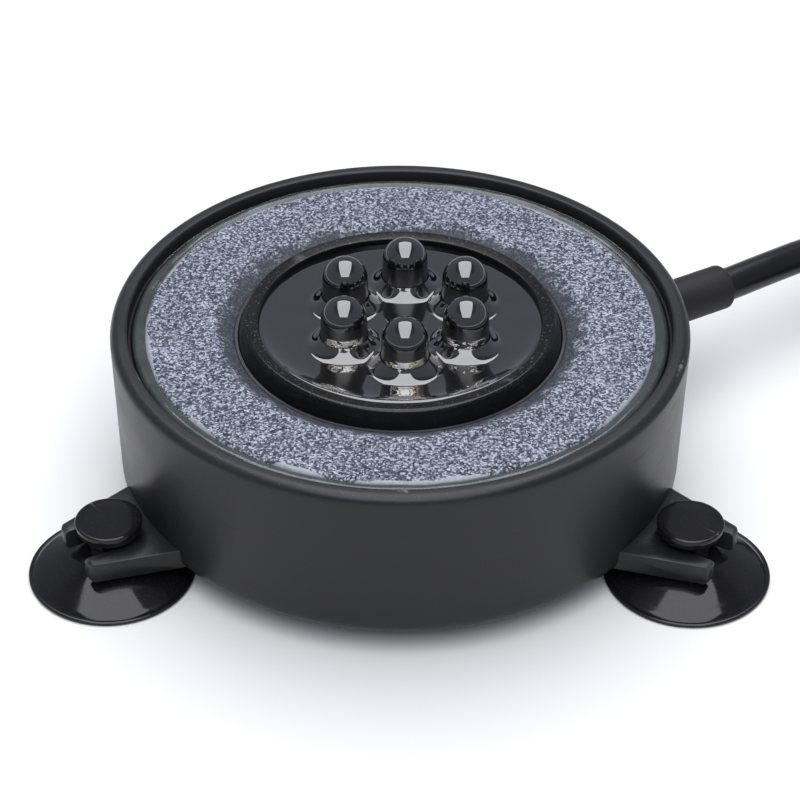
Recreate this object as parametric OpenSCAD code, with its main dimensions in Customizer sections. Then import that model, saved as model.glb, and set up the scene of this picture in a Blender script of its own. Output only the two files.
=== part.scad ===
// Round submersible gas diffuser: a dish with a porous stone ring, a potted
// six-lamp light in the middle, three suction cups and one combined supply hose.
// Millimetres, +Z up. The origin is the middle of the dish's underside.

/* [Dish] */
// Outer radius at the rim
casing_r = 50; // [45:0.5:60]
// Height from the underside to the rim
casing_h = 30; // [28:0.5:38]
// How much narrower the foot is than the rim, on the radius
casing_draft = 0.5; // [0:0.1:3]
// Rounding of the foot's outer edge
foot_round = 3.2; // [1:0.1:4]
// Wall thickness at the foot
foot_wall = 3; // [2.8:0.1:4]
// Wall thickness at the rim
rim_wall = 3; // [2.4:0.1:4]
// Rounding of the rim's outer edge
rim_round = 1.6; // [0.5:0.1:2]
// Thickness of the floor
floor_t = 2.5; // [1.6:0.1:4]
// Number of ribs that carry the stone
rib_count = 12; // [6:6:18]
// Thickness of a rib
rib_t = 1.6; // [1:0.1:3]
// Radius of the flat pad under the dish
pad_r = 40; // [30:0.5:41]

/* [Stone] */
// Thickness of the stone ring
stone_t = 8; // [6:0.5:10]
// Width of the clear seal between the stone and the wall
seal_w = 2.9; // [2:0.1:4]
// How far the stone's top lies below the rim
stone_drop = 1.4; // [0.5:0.1:3]
// Width of the sloping inner edge of the stone
stone_slope_w = 3.4; // [1:0.1:5]
// Depth of the sloping inner edge of the stone
stone_slope_h = 1.8; // [0.5:0.1:3]

/* [Lamp] */
// Outer radius of the lamp cup at its rim
lamp_r = 27; // [24:0.5:29]
// How much the lamp cup widens from its rim down to the stone
lamp_flare = 1.1; // [0.5:0.1:2]
// Width of the lamp cup's rim
lamp_rim_w = 2.4; // [1.6:0.1:3]
// Depth of the resin below the lamp cup's rim
resin_drop = 1.5; // [0.8:0.1:3]
// Number of lamps
lamp_count = 6; // [6:1:6]
// Radius of the circle that the lamps stand on
lamp_ring_r = 12; // [11:0.1:13]
// How far the hand-set ring of lamps sits to one side
lamp_ring_shift = 0.8; // [0:0.1:1]
// Radius of a lamp's dome
lens_r = 3.95; // [3.5:0.05:4.2]
// Height of a lamp above its flange's underside
lens_h = 11; // [9:0.1:13]
// Thickness of the circuit board
board_t = 1.6; // [1:0.1:2]

/* [Cups] */
// Radius of a suction cup's rim
cup_r = 14.3; // [12:0.1:17]
// Distance from the dish's foot to a cup's axis
cup_out = 7.3; // [6.8:0.1:10]
// Height of the dish's underside above the surface it stands on
stand_h = 3.6; // [3:0.1:5]
// Radius of a cup's neck
neck_r = 3.6; // [2.5:0.1:4]
// Radius of a cup's head
head_r = 5.7; // [4.8:0.1:6.5]
// Height of a cup's head above the ear
head_h = 2.9; // [2.5:0.1:5]
// Thickness of an ear
ear_t = 3.8; // [3:0.1:5]
// Height of an ear above the dish's underside
ear_lift = 1; // [0:0.1:2]
// Half width of an ear where it meets the dish
ear_root_w = 10.6; // [8:0.1:12]
// Half width of an ear at its end
ear_tip_w = 6.1; // [5.2:0.1:7]
// How far an ear sticks out from the dish's foot
ear_out = 13.8; // [12.5:0.1:17]

/* [Hose] */
// Outer diameter of the supply hose
hose_d = 6.2; // [5:0.1:7]
// Outer diameter of the sleeve round the hose
sleeve_d = 8.4; // [7.6:0.1:10]
// Distance from the dish's axis to the sleeve's end
sleeve_end_r = 70; // [62:0.5:76]
// Height of the hose where it enters the dish
hose_z = 12.5; // [9:0.5:15]
// Direction of the hose from the dish's axis, in degrees
hose_angle = 30; // [30:1:30]
// Outer diameter of the power lead
lead_d = 3.5; // [3:0.1:4]
// Outer diameter of the power plug's barrel
plug_barrel_d = 5.5; // [5.5:0.1:5.5]
// Hole in the power plug
plug_hole_d = 2.1; // [2.1:0.1:2.1]
// Outer diameter of the gas inlet
inlet_d = 4.4; // [4:0.1:5]

/* [Hidden] */

$fn = 96;
fit = 0.05;         // gap between pieces that are glued or pressed together
loose = 0.3;        // gap round a soft or moving piece
eps = 0.01;         // overlap of solids that are one piece
over = 1;           // how far a cut runs past a face

// Dish
wall_in_r = casing_r - rim_wall;
foot_r = casing_r - casing_draft;
foot_in_r = foot_r - foot_wall;
rim_in_round = 0.5;
stone_top = casing_h - stone_drop;
stone_z = stone_top - stone_t;
wall_turn = 0.5;    // the wall stands straight from this far below the stone
wall_turn_z = stone_z - wall_turn;
stone_bearing = 3.5;          // how far a rib reaches under the stone
rib_in_wall = 0.5;            // how far a rib runs into the wall
rib_in_r = wall_in_r - seal_w - stone_bearing;
seal_crown = 0.35;
stone_chamfer = 0.5;
inner_seal_w = 0.6;           // glue between the stone and the lamp cup
collar_h = 3;       // ring on the floor that centres the lamp cup
collar_t = 1.6;
pad_groove_w = 1;
pad_groove_h = 0.5;

// Lamp cup
skirt_r = lamp_r + lamp_flare;
cup_body_r = lamp_r - lamp_rim_w;      // outer radius of the cup below its flange
cup_in_r = lamp_r - lamp_rim_w;        // radius of the mouth that holds the board
cup_wall = 2;
cup_ledge_r = cup_body_r - cup_wall;
cup_z = floor_t + fit;
cup_floor_t = 2;
flange_w = 3;
flange_r = skirt_r + flange_w;
flange_t = 2.4;
flange_cone_h = 3;
rim_fall = 0.3;     // the rim slopes down to its mouth
rim_bevel = 0.8;
lamp_top = casing_h;
resin_top = lamp_top - resin_drop;
resin_t = 2.05;
board_top = resin_top - resin_t - fit;
board_z = board_top - board_t;
board_r = cup_in_r - 3 * fit;

// Lamps
lens_flange_r = 4.7;
lens_flange_h = 1.2;
lens_base_r = lens_r + 0.25;
lens_standoff = 0.35;
lens_z = board_top + lens_standoff;
dome_z = lens_z + lens_h - lens_r;
pocket_r = 2.6;
pocket_h = 3.8;
leg_w = 0.5;
leg_gap = 2.54;
leg_out = 1.2;      // how far the legs stick out under the board
dish_drop = 1.2;    // the reflector dish stands this far below the lens's hollow's roof
dish_h = 0.9;
dish_hollow_z = 0.4;
dish_shape = [0.75, 0.4, 0.85];  // foot, hollow and mouth, as shares of its radius
leg_hole_r = 0.45;
dish_r = 1.3;
collar_rise = 1.6;  // how far the resin creeps up a lamp
collar_w = 2;
collar_foot = 0.5;  // depth of a collar below the resin's surface
first_lamp = 30;
solder_r = 1;
solder_h = 0.9;
solder_tip = 0.2;   // wall at the tip of a solder cone
wire_hole = 0.06;

// Electrics inside
wire_r = 0.6;
wire_side = 0.85;   // sideways distance of a wire from the middle of the hose
wire_spread = 1.6;  // the wires part by this ratio where they meet the board
wire_up_r = 17;     // where the wires climb to the board
wire_run = 2;       // straight stretch inside the cup's wall
resistor_r = 1.2;
resistor_l = 6.4;
resistor_y = 3.5;
resistor_leg_r = 0.3;
resistor_leg_x = 4.6;
resistor_z = board_z - loose - resistor_r;
resistor_leg_up = 1.4;        // from the resistor's axis past the board's underside
seal_r = 2.4;
seal_out = 0.6;     // how far the wire seal stands out on both sides of the wall
seal_l = cup_wall + 2 * seal_out;

// Cups
ear_angles = [-150, -30, 90];
cup_place_r = foot_r + cup_out;
ear_end_r = foot_r + ear_out;
slot_r = neck_r + loose;
ear_in = 0.2;       // an ear's root stays this far from the inside of the wall
ear_root_r = foot_in_r + ear_in;
ear_top = ear_lift + ear_t;
cup_rim_t = 0.8;
cup_rim_w = 1;
cup_wall_top = 0.5; // drop of the cup's shoulder below the ear
cup_shoulder_r = neck_r + 1.4;
cup_shoulder_w = 1;
cup_hollow = 1.6;
cup_hollow_shape = [[0.6, 0.7], [0.25, 1]];  // shares of the rim's radius and of the hollow
head_round = 0.5;
head_side = 1.8;    // height of the head's side below its top
head_foot_w = 0.6;  // the head's underside is this much wider than the neck

// Hose, sleeve and seal
hose_r = hose_d / 2;
sleeve_r = sleeve_d / 2;
sleeve_flange_w = 1.4;
sleeve_flange_r = sleeve_r + sleeve_flange_w;
sleeve_round = 1.1;
sleeve_flange_t = 1.5;
flange_low_z = hose_z - sleeve_flange_r;
wall_slope = (wall_in_r - foot_in_r) / (wall_turn_z - floor_t);
wall_r_at_flange = foot_in_r + wall_slope * (flange_low_z - floor_t);
flange_sag = wall_r_at_flange - sqrt(pow(wall_r_at_flange, 2) - pow(sleeve_flange_r, 2));
sleeve_seat_r = wall_r_at_flange - flange_sag;
sleeve_start_r = sleeve_seat_r - sleeve_flange_t;
hose_inside = 2;    // how far the hose reaches past the sleeve into the dish
hose_start_r = sleeve_start_r - hose_inside;
bead_t = 0.9;
bead_w = [0.8, 1];  // width of the glue bead at its two ends

// Route of the hose to its coil, and from the coil to the tee
floor_z = -stand_h;
hose_floor_z = floor_z + hose_r;
coil_lift = 1;      // the ties under the coil hold it this high
coil_z = hose_floor_z + coil_lift;
coil_at = [138, 40];
coil_out_r = 42.8;
coil_in_r = 28.2;
coil_corner = 0.6;  // corner cut of the coil's outline, as a share of the hose's radius
tie_gap = 3 * fit;
coil_layers = 2;
hose_dir = [cos(hose_angle), sin(hose_angle), 0];
hose_side = [-sin(hose_angle), cos(hose_angle), 0];
hose_in_sleeve = [for (r = [hose_start_r, (hose_start_r + sleeve_end_r) / 2, sleeve_end_r])
    r * hose_dir + [0, 0, hose_z]];
hose_route = concat(hose_in_sleeve, [[66, 38.6, 12.4], [71.5, 42.6, 12.1], [77, 46.8, 11.5],
    [83, 51.4, 10.1], [89, 56, 8.1], [95, 60.7, 5.7], [101, 65.4, 3.4], [107, 70.1, 1.5],
    [112, 74, 0.6]]);
tail_route = [[180.8, 40, 6.7], [180, 27, 6.1], [176.8, 14, 4.4], [171, 3.8, 2.4],
    [165, -3, 1.3], [160, -8, 1]];
tie_angles = [60, 210];
tie_t = 0.8;
tie_w = 4;

// Tee at the far end of the hose
tee_r = 4.6;
tee_z = floor_z + tee_r;
tee_at = [160, -8];           // where the hose goes in
tee_angle = 225;              // direction from there to the gas inlet
tee_l = 28;
tee_mouth_bevel = 0.6;
tee_nose = [1.6, 2];          // taper at the inlet's end, across and along
tee_socket = 8;
tee_branch_x = 17;            // from the mouth to the branch
tee_branch_r = 3.6;
tee_branch_l = 6;             // from the tee's axis
inlet_l = 11;
inlet_hole_d = 2.4;
gland_l = 8;
gland_wall = [0.3, 0.6];      // step at the tee, and wall at the lead's end
lead_start = 2;               // from the tee's axis to the lead's inner end

// Power lead and plug
lead_r = lead_d / 2;
plug_at = [195, 4];
grip_r = 5;
grip_l = 26;
relief_wall = [0.8, 1.2];     // of the grip's narrow end, at the lead and at the shoulder
relief_l = 8;
shoulder_l = 3;
grip_bevel = 1;
plug_z = floor_z + grip_r;
barrel_l = 9.5;
barrel_wall = 0.4;
barrel_tail_l = 4;            // narrower tail inside the grip
barrel_tail_step = 0.25;
contact_wall = 0.3;
contact_back = 0.5;           // the contact ends this far inside the barrel's mouth
lead_route = [[158, -30, 1], [161.5, -33.5, 0.4], [166, -37.4, -0.7], [172, -41.2, -1.5],
    [179, -43.3, -1.8], [186, -43.3, -1.8], [192.5, -41, -1.8], [198, -36.5, -1.8],
    [201, -30, -1.8], [201, -23, -1.6], [198.8, -16, -0.9], [196.5, -9, 0.2],
    [195.1, -3, 1.3], [plug_at[0], plug_at[1], plug_z]];

// Points of an arc about c
function arc(c, r, a0, a1, n) = [for (i = [0:n]) let (a = a0 + (a1 - a0) * i / n)
    c + r * [cos(a), sin(a)]];
function unit(v) = v / norm(v);
function tee_point(x, y) = [tee_at[0] + x * cos(tee_angle) - y * sin(tee_angle),
    tee_at[1] + x * sin(tee_angle) + y * cos(tee_angle), tee_z];
function heading(p, i) = unit(p[min(i + 1, len(p) - 1)] - p[max(i - 1, 0)]);

// A round bar along a route. The side vector lies across the route all the way.
module swept(p, r, side = undef, sides = 10) {
    rings = [for (i = [0:len(p) - 1]) let (t = heading(p, i),
        s = is_undef(side) ? unit(cross([0, 0, 1], t)) : side, u = cross(t, s))
        for (k = [0:sides - 1]) let (a = 360 * k / sides) p[i] + r * (cos(a) * s + sin(a) * u)];
    sides_faces = [for (i = [0:len(p) - 2]) for (k = [0:sides - 1]) let (m = (k + 1) % sides)
        [i * sides + k, (i + 1) * sides + k, (i + 1) * sides + m, i * sides + m]];
    start = [[for (k = [0:sides - 1]) k]];
    end = [[for (k = [sides - 1:-1:0]) (len(p) - 1) * sides + k]];
    polyhedron(rings, concat(start, sides_faces, end));
}

module along_hose(r) {
    rotate([0, 0, hose_angle]) translate([r, 0, hose_z]) rotate([0, 90, 0]) children();
}

module at_lamp(i) {
    a = first_lamp + i * 360 / lamp_count;
    translate([lamp_ring_shift + lamp_ring_r * cos(a), lamp_ring_r * sin(a), 0])
        rotate([0, 0, a]) children();
}

module casing() {
    outline = concat([[0, 0], [foot_r - foot_round, 0]],
        arc([foot_r - foot_round, foot_round], foot_round, -90, 0, 4),
        arc([casing_r - rim_round, casing_h - rim_round], rim_round, 0, 90, 8),
        arc([wall_in_r + rim_in_round, casing_h - rim_in_round], rim_in_round, 90, 180, 4),
        [[wall_in_r, wall_turn_z], [foot_in_r, floor_t], [0, floor_t]]);
    color([0.10, 0.10, 0.11]) difference() {
        union() {
            rotate_extrude() polygon(outline);
            for (a = ear_angles) rotate([0, 0, a]) ear();
            for (i = [0:rib_count - 1]) rotate([0, 0, (i + 0.5) * 360 / rib_count])
                rib();
            translate([0, 0, floor_t - eps]) difference() {
                cylinder(r = cup_body_r + fit + collar_t, h = collar_h + eps);
                translate([0, 0, eps]) cylinder(r = cup_body_r + fit, h = collar_h + over);
            }
        }
        translate([0, 0, -over]) difference() {
            cylinder(r = pad_r + pad_groove_w, h = over + pad_groove_h);
            cylinder(r = pad_r, h = over + pad_groove_h);
        }
        along_hose(sleeve_start_r) cylinder(r = sleeve_r + fit, h = casing_r + over - sleeve_start_r);
        for (a = ear_angles) rotate([0, 0, a]) slot();
    }
}

module ear() {
    translate([0, 0, ear_lift]) linear_extrude(ear_t)
        polygon([[ear_root_r, -ear_root_w], [ear_end_r, -ear_tip_w],
            [ear_end_r, ear_tip_w], [ear_root_r, ear_root_w]]);
}

module slot() {
    translate([cup_place_r, 0, -over]) cylinder(r = slot_r, h = ear_top + 2 * over);
    translate([cup_place_r, -slot_r, -over])
        cube([ear_end_r - cup_place_r + over, 2 * slot_r, ear_top + 2 * over]);
}

module rib() {
    translate([rib_in_r, -rib_t / 2, floor_t - eps])
        cube([wall_in_r + rib_in_wall - rib_in_r, rib_t, stone_z - floor_t + eps]);
}

module air_stone() {
    inner = skirt_r + inner_seal_w;
    outer = wall_in_r - seal_w;
    color([0.55, 0.58, 0.66]) rotate_extrude() polygon([[inner, stone_z + fit],
        [outer, stone_z + fit], [outer, stone_top - stone_chamfer],
        [outer - stone_chamfer, stone_top],
        [inner + stone_slope_w, stone_top], [inner, stone_top - stone_slope_h]]);
}

module outer_seal() {
    inner = wall_in_r - seal_w + fit;
    outer = wall_in_r - fit;
    half = (outer - inner) / 2;
    crown_r = (pow(half, 2) + pow(seal_crown, 2)) / (2 * seal_crown);
    side = asin(half / crown_r);
    color([0.60, 0.64, 0.62, 0.5]) rotate_extrude() polygon(concat([[inner, stone_z + fit],
        [outer, stone_z + fit]],
        arc([(inner + outer) / 2, stone_top + seal_crown - crown_r], crown_r, 90 - side, 90 + side, 8)));
}

module inner_seal() {
    inner = skirt_r + fit;
    outer = skirt_r + inner_seal_w - fit;
    color([0.12, 0.13, 0.14]) translate([0, 0, stone_z + fit]) difference() {
        cylinder(r = outer, h = stone_t - stone_slope_h);
        translate([0, 0, -over]) cylinder(r = inner, h = stone_t + 2 * over);
    }
}

module lamp_cup() {
    skirt_top = stone_top - stone_slope_h;
    color([0.05, 0.05, 0.06]) difference() {
        rotate_extrude() polygon([[0, cup_z], [cup_body_r, cup_z],
            [cup_body_r, stone_z - flange_t - flange_cone_h], [flange_r, stone_z - flange_t],
            [flange_r, stone_z - fit], [skirt_r, stone_z - fit], [skirt_r, skirt_top],
            [lamp_r, lamp_top - rim_bevel], [lamp_r - rim_bevel, lamp_top],
            [cup_in_r, lamp_top - rim_fall], [cup_in_r, board_z - fit], [cup_ledge_r, board_z - fit],
            [cup_ledge_r, cup_z + cup_floor_t], [0, cup_z + cup_floor_t]]);
        along_hose(cup_ledge_r - over) cylinder(r = seal_r + fit, h = cup_wall + 2 * over);
    }
}

module led_board() {
    color([0.05, 0.28, 0.12]) difference() {
        translate([0, 0, board_z]) cylinder(r = board_r, h = board_t);
        for (i = [0:lamp_count - 1]) at_lamp(i) for (s = [-1, 1])
            translate([0, s * leg_gap / 2, board_z - over])
                cylinder(r = leg_hole_r, h = board_t + 2 * over, $fn = 24);
        for (x = [-1, 1], y = [-1, 1])
            translate([x * resistor_leg_x, y * resistor_y, board_z - over])
                cylinder(r = leg_hole_r, h = board_t + 2 * over, $fn = 24);
    }
}

module led_lens(i) {
    color([0.08, 0.08, 0.09, 0.8]) at_lamp(i) difference() {
        union() {
            translate([0, 0, lens_z]) cylinder(r = lens_flange_r, h = lens_flange_h);
            translate([0, 0, lens_z + lens_flange_h])
                cylinder(r1 = lens_base_r, r2 = lens_r, h = dome_z - lens_z - lens_flange_h);
            intersection() {
                translate([0, 0, dome_z]) sphere(r = lens_r);
                translate([0, 0, dome_z]) cylinder(r = lens_r + 1, h = lens_r + 1);
            }
        }
        translate([0, 0, lens_z - over]) cylinder(r = pocket_r, h = pocket_h + over);
    }
}

module led_frame(i) {
    leg_z = board_z - leg_out;
    leg_top = lens_z + pocket_h - dish_drop;
    color([0.80, 0.74, 0.60]) at_lamp(i) {
        for (s = [-1, 1]) translate([-leg_w / 2, s * leg_gap / 2 - leg_w / 2, leg_z])
            cube([leg_w, leg_w, leg_top - leg_z]);
        translate([0, -leg_gap / 2 + dish_r - leg_w, leg_top - eps]) difference() {
            cylinder(r1 = dish_r * dish_shape[0], r2 = dish_r, h = dish_h, $fn = 32);
            translate([0, 0, dish_hollow_z])
                cylinder(r1 = dish_r * dish_shape[1], r2 = dish_r * dish_shape[2], h = dish_h, $fn = 32);
        }
    }
}

module resistors() {
    color([0.75, 0.66, 0.48]) for (s = [-1, 1]) translate([0, s * resistor_y, resistor_z]) {
        translate([-resistor_l / 2, 0, 0]) rotate([0, 90, 0])
            cylinder(r = resistor_r, h = resistor_l, $fn = 32);
        for (x = [-1, 1]) {
            translate([x * (resistor_leg_x + resistor_l / 2) / 2, 0, 0]) rotate([0, 90, 0])
                cylinder(r = resistor_leg_r, h = resistor_leg_x - resistor_l / 2 + 2 * resistor_leg_r,
                    center = true, $fn = 16);
            translate([x * resistor_leg_x, 0, -resistor_leg_r])
                cylinder(r = resistor_leg_r, h = board_z - resistor_z + resistor_leg_up, $fn = 16);
        }
    }
}

module solder_joints() {
    color([0.78, 0.78, 0.80]) {
        for (i = [0:lamp_count - 1]) at_lamp(i) for (s = [-1, 1])
            translate([0, s * leg_gap / 2, board_z - fit]) solder_cone(leg_w * 0.8);
        for (s = [-1, 1]) translate(wire_up_r * hose_dir + s * wire_side * wire_spread * hose_side
            + [0, 0, board_z - fit]) solder_cone(wire_r + wire_hole);
    }
}

module solder_cone(hole_r) {
    mirror([0, 0, 1]) difference() {
        cylinder(r1 = solder_r, r2 = hole_r + solder_tip, h = solder_h, $fn = 24);
        translate([0, 0, -over]) cylinder(r = hole_r, h = solder_h + 2 * over, $fn = 24);
    }
}

module potting_resin() {
    flange_top = lens_z + lens_flange_h + fit;
    top_r = lens_base_r + 3 * fit;
    foot_z = resin_top - collar_foot;
    collar = concat([[0, foot_z], [top_r + collar_w, foot_z], [top_r + collar_w, resin_top]],
        arc([top_r + collar_w, resin_top + collar_rise], collar_rise, 270, 180, 6),
        [[0, resin_top + collar_rise]]);
    color([0.03, 0.03, 0.035]) difference() {
        union() {
            translate([0, 0, board_top + fit])
                cylinder(r = cup_in_r - fit, h = resin_top - board_top - fit);
            for (i = [0:lamp_count - 1]) at_lamp(i) rotate_extrude() polygon(collar);
        }
        for (i = [0:lamp_count - 1]) at_lamp(i) {
            translate([0, 0, board_top - over])
                cylinder(r = lens_flange_r + fit, h = flange_top - board_top + over);
            translate([0, 0, board_top])
                cylinder(r = lens_base_r + fit, h = resin_t + collar_rise + 2 * over);
        }
        for (x = [-1, 1], y = [-1, 1]) translate([x * resistor_leg_x, y * resistor_y, board_top])
            cylinder(r = leg_hole_r, h = 0.6, $fn = 24);
    }
}

// A wire from the hose's inner end, through the seal, up to the board
module wire(s) {
    in = cup_ledge_r - wire_run;
    bend = in - wire_up_r;
    path = concat([[hose_start_r - fit, hose_z, 1]], [[in, hose_z, 1]],
        [for (a = [22.5:22.5:90]) [in - bend * sin(a), hose_z + bend * (1 - cos(a)),
            1 + (wire_spread - 1) * a / 90]],
        [[wire_up_r, board_z - 2 * fit, wire_spread]]);
    swept([for (q = path) q[0] * hose_dir + s * wire_side * q[2] * hose_side + [0, 0, q[1]]],
        wire_r, hose_side, 8);
}

module wire_red() {
    color([0.62, 0.06, 0.05]) wire(1);
}

module wire_black() {
    color([0.05, 0.05, 0.05]) wire(-1);
}

module wire_seal() {
    color([0.20, 0.20, 0.22]) along_hose(cup_ledge_r - seal_out) difference() {
        cylinder(r = seal_r, h = seal_l, $fn = 48);
        for (s = [-1, 1]) translate([0, s * wire_side, -over])
            cylinder(r = wire_r + fit, h = seal_l + 2 * over, $fn = 24);
    }
}

module hose_sleeve() {
    l = sleeve_end_r - sleeve_start_r;
    color([0.09, 0.09, 0.10]) along_hose(sleeve_start_r) difference() {
        rotate_extrude() polygon(concat([[0, 0], [sleeve_flange_r, 0], [sleeve_flange_r, sleeve_flange_t],
            [sleeve_r, sleeve_flange_t]], arc([sleeve_r - sleeve_round, l - sleeve_round],
                sleeve_round, 0, 60, 5),
            [[hose_r, l], [0, l]]));
        translate([0, 0, -over]) cylinder(r = hose_r + fit, h = l + 2 * over);
    }
}

module hose_seal() {
    color([0.20, 0.20, 0.22]) along_hose(sleeve_start_r - fit - bead_t) difference() {
        cylinder(r1 = hose_r + bead_w[0], r2 = sleeve_r + bead_w[1], h = bead_t);
        translate([0, 0, -over]) cylinder(r = hose_r + fit, h = bead_t + 2 * over);
    }
}

module supply_hose() {
    color([0.07, 0.07, 0.08]) swept(hose_route, hose_r);
}

module hose_tail() {
    color([0.07, 0.07, 0.08]) swept(concat(tail_route, [tee_point(tee_socket - fit, 0)]), hose_r);
}

module hose_coil() {
    corner = hose_r * coil_corner;
    z0 = coil_z - hose_r;
    z1 = z0 + coil_layers * hose_d;
    r0 = coil_in_r - hose_r;
    r1 = coil_out_r + hose_r;
    color([0.07, 0.07, 0.08]) translate(coil_at) rotate_extrude() polygon([[r0, z0 + corner],
        [r0 + corner, z0], [r1 - corner, z0], [r1, z0 + corner], [r1, z1 - corner],
        [r1 - corner, z1], [r0 + corner, z1], [r0, z1 - corner]]);
}

module coil_ties() {
    z0 = coil_z - hose_r - tie_gap;
    h = coil_layers * hose_d + 2 * tie_gap;
    r0 = coil_in_r - hose_r - tie_gap;
    w = coil_out_r + hose_r + tie_gap - r0;
    color([0.16, 0.16, 0.17]) for (a = tie_angles) translate(coil_at) rotate([0, 0, a]) difference() {
        translate([r0 - tie_t, -tie_w / 2, z0 - tie_t]) cube([w + 2 * tie_t, tie_w, h + 2 * tie_t]);
        translate([r0, -tie_w, z0]) cube([w, 2 * tie_w, h]);
    }
}

// Local +X runs from the hose's mouth to the gas inlet, and +Y to the branch
module at_tee() {
    translate([tee_at[0], tee_at[1], tee_z]) rotate([0, 0, tee_angle]) children();
}

module tee_body() {
    color([0.08, 0.08, 0.09]) at_tee() difference() {
        union() {
            rotate([0, 90, 0]) {
                rotate_extrude() polygon([[0, 0], [tee_r - tee_mouth_bevel, 0],
                    [tee_r, tee_mouth_bevel], [tee_r, tee_l - tee_nose[1]],
                    [tee_r - tee_nose[0], tee_l], [0, tee_l]]);
                translate([0, 0, tee_l - eps]) cylinder(d = inlet_d, h = inlet_l + eps);
            }
            translate([tee_branch_x, 0, 0]) rotate([-90, 0, 0])
                cylinder(r = tee_branch_r, h = tee_branch_l);
        }
        rotate([0, 90, 0]) {
            translate([0, 0, -over]) cylinder(r = hose_r + fit, h = tee_socket + over);
            translate([0, 0, -over]) cylinder(d = inlet_hole_d, h = tee_l + inlet_l + 2 * over);
        }
        translate([tee_branch_x, 0, 0]) rotate([-90, 0, 0])
            cylinder(r = lead_r + fit, h = tee_branch_l + over);
    }
}

module lead_gland() {
    color([0.10, 0.10, 0.11]) at_tee() translate([tee_branch_x, tee_branch_l + fit, 0])
        rotate([-90, 0, 0]) difference() {
            cylinder(r1 = tee_branch_r - gland_wall[0], r2 = lead_r + gland_wall[1], h = gland_l);
            translate([0, 0, -over]) cylinder(r = lead_r + fit, h = gland_l + 2 * over);
        }
}

module power_lead() {
    start = [for (y = [lead_start, tee_branch_l + gland_l / 2]) tee_point(tee_branch_x, y)];
    color([0.07, 0.07, 0.08]) swept(concat(start, lead_route), lead_r, undef, 8);
}

module at_plug() {
    translate([plug_at[0], plug_at[1], plug_z]) rotate([-90, 0, 0]) children();
}

module plug_grip() {
    color([0.07, 0.07, 0.08]) at_plug() difference() {
        rotate_extrude() polygon([[0, 2 * fit], [lead_r + relief_wall[0], 2 * fit],
            [lead_r + relief_wall[1], relief_l], [grip_r, relief_l + shoulder_l],
            [grip_r, grip_l - grip_bevel], [grip_r - grip_bevel, grip_l], [0, grip_l]]);
        translate([0, 0, grip_l - barrel_tail_l])
            cylinder(r = plug_barrel_d / 2 - barrel_tail_step + fit, h = barrel_tail_l + over);
    }
}

// A tube of the plug, from inside the grip to the plug's end
module plug_tube(outer, inner, end = 0) {
    translate([0, 0, grip_l - barrel_tail_l + fit]) difference() {
        cylinder(r = outer, h = barrel_l + barrel_tail_l - fit - end);
        translate([0, 0, -over]) cylinder(r = inner, h = barrel_l + barrel_tail_l + 2 * over);
    }
}

module plug_barrel() {
    outer = plug_barrel_d / 2;
    tail = outer - barrel_tail_step;
    bore = tail - barrel_wall;
    z0 = grip_l - barrel_tail_l + fit;
    color([0.75, 0.75, 0.77]) at_plug() difference() {
        union() {
            translate([0, 0, z0]) cylinder(r = tail, h = barrel_tail_l);
            translate([0, 0, grip_l + fit]) cylinder(r = outer, h = barrel_l - fit);
        }
        translate([0, 0, z0 - over]) cylinder(r = bore, h = barrel_l + barrel_tail_l + 2 * over);
    }
}

module plug_insulator() {
    bore = plug_barrel_d / 2 - barrel_tail_step - barrel_wall;
    color([0.05, 0.05, 0.05]) at_plug() plug_tube(bore - fit, plug_hole_d / 2 + contact_wall + fit);
}

module plug_contact() {
    color([0.80, 0.72, 0.45]) at_plug()
        plug_tube(plug_hole_d / 2 + contact_wall, plug_hole_d / 2, contact_back);
}

module suction_cup() {
    under = ear_lift - loose;
    head_z = ear_top + loose;
    head_top = head_z + head_h;
    top = [[0, head_top], [head_r - head_round, head_top], [head_r, head_top - head_round],
        [head_r, head_top - head_side], [neck_r + head_foot_w, head_z], [neck_r, head_z]];
    shoulder = [[neck_r, under], [cup_shoulder_r, under],
        [cup_shoulder_r + cup_shoulder_w, under - cup_wall_top],
        [cup_r, floor_z + cup_rim_t], [cup_r, floor_z]];
    hollow = concat([[cup_r - cup_rim_w, floor_z]],
        [for (q = cup_hollow_shape) [cup_r * q[0], floor_z + cup_hollow * q[1]]],
        [[0, floor_z + cup_hollow]]);
    color([0.06, 0.06, 0.065]) translate([cup_place_r, 0, 0])
        rotate_extrude() polygon(concat(top, shoulder, hollow));
}

module suction_cup_left() {
    rotate([0, 0, ear_angles[0]]) suction_cup();
}

module suction_cup_right() {
    rotate([0, 0, ear_angles[1]]) suction_cup();
}

module suction_cup_rear() {
    rotate([0, 0, ear_angles[2]]) suction_cup();
}

casing();
air_stone();
outer_seal();
inner_seal();
lamp_cup();
led_board();
for (i = [0:lamp_count - 1]) {
    led_lens(i);
    led_frame(i);
}
resistors();
solder_joints();
potting_resin();
wire_red();
wire_black();
wire_seal();
hose_sleeve();
hose_seal();
supply_hose();
hose_coil();
hose_tail();
coil_ties();
tee_body();
lead_gland();
power_lead();
plug_grip();
plug_barrel();
plug_insulator();
plug_contact();
suction_cup_left();
suction_cup_right();
suction_cup_rear();
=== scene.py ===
# Round gas diffuser with a potted lamp cluster, dressed on its CAD frame
import math

import bpy
from mathutils import Matrix, Vector, noise


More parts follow.
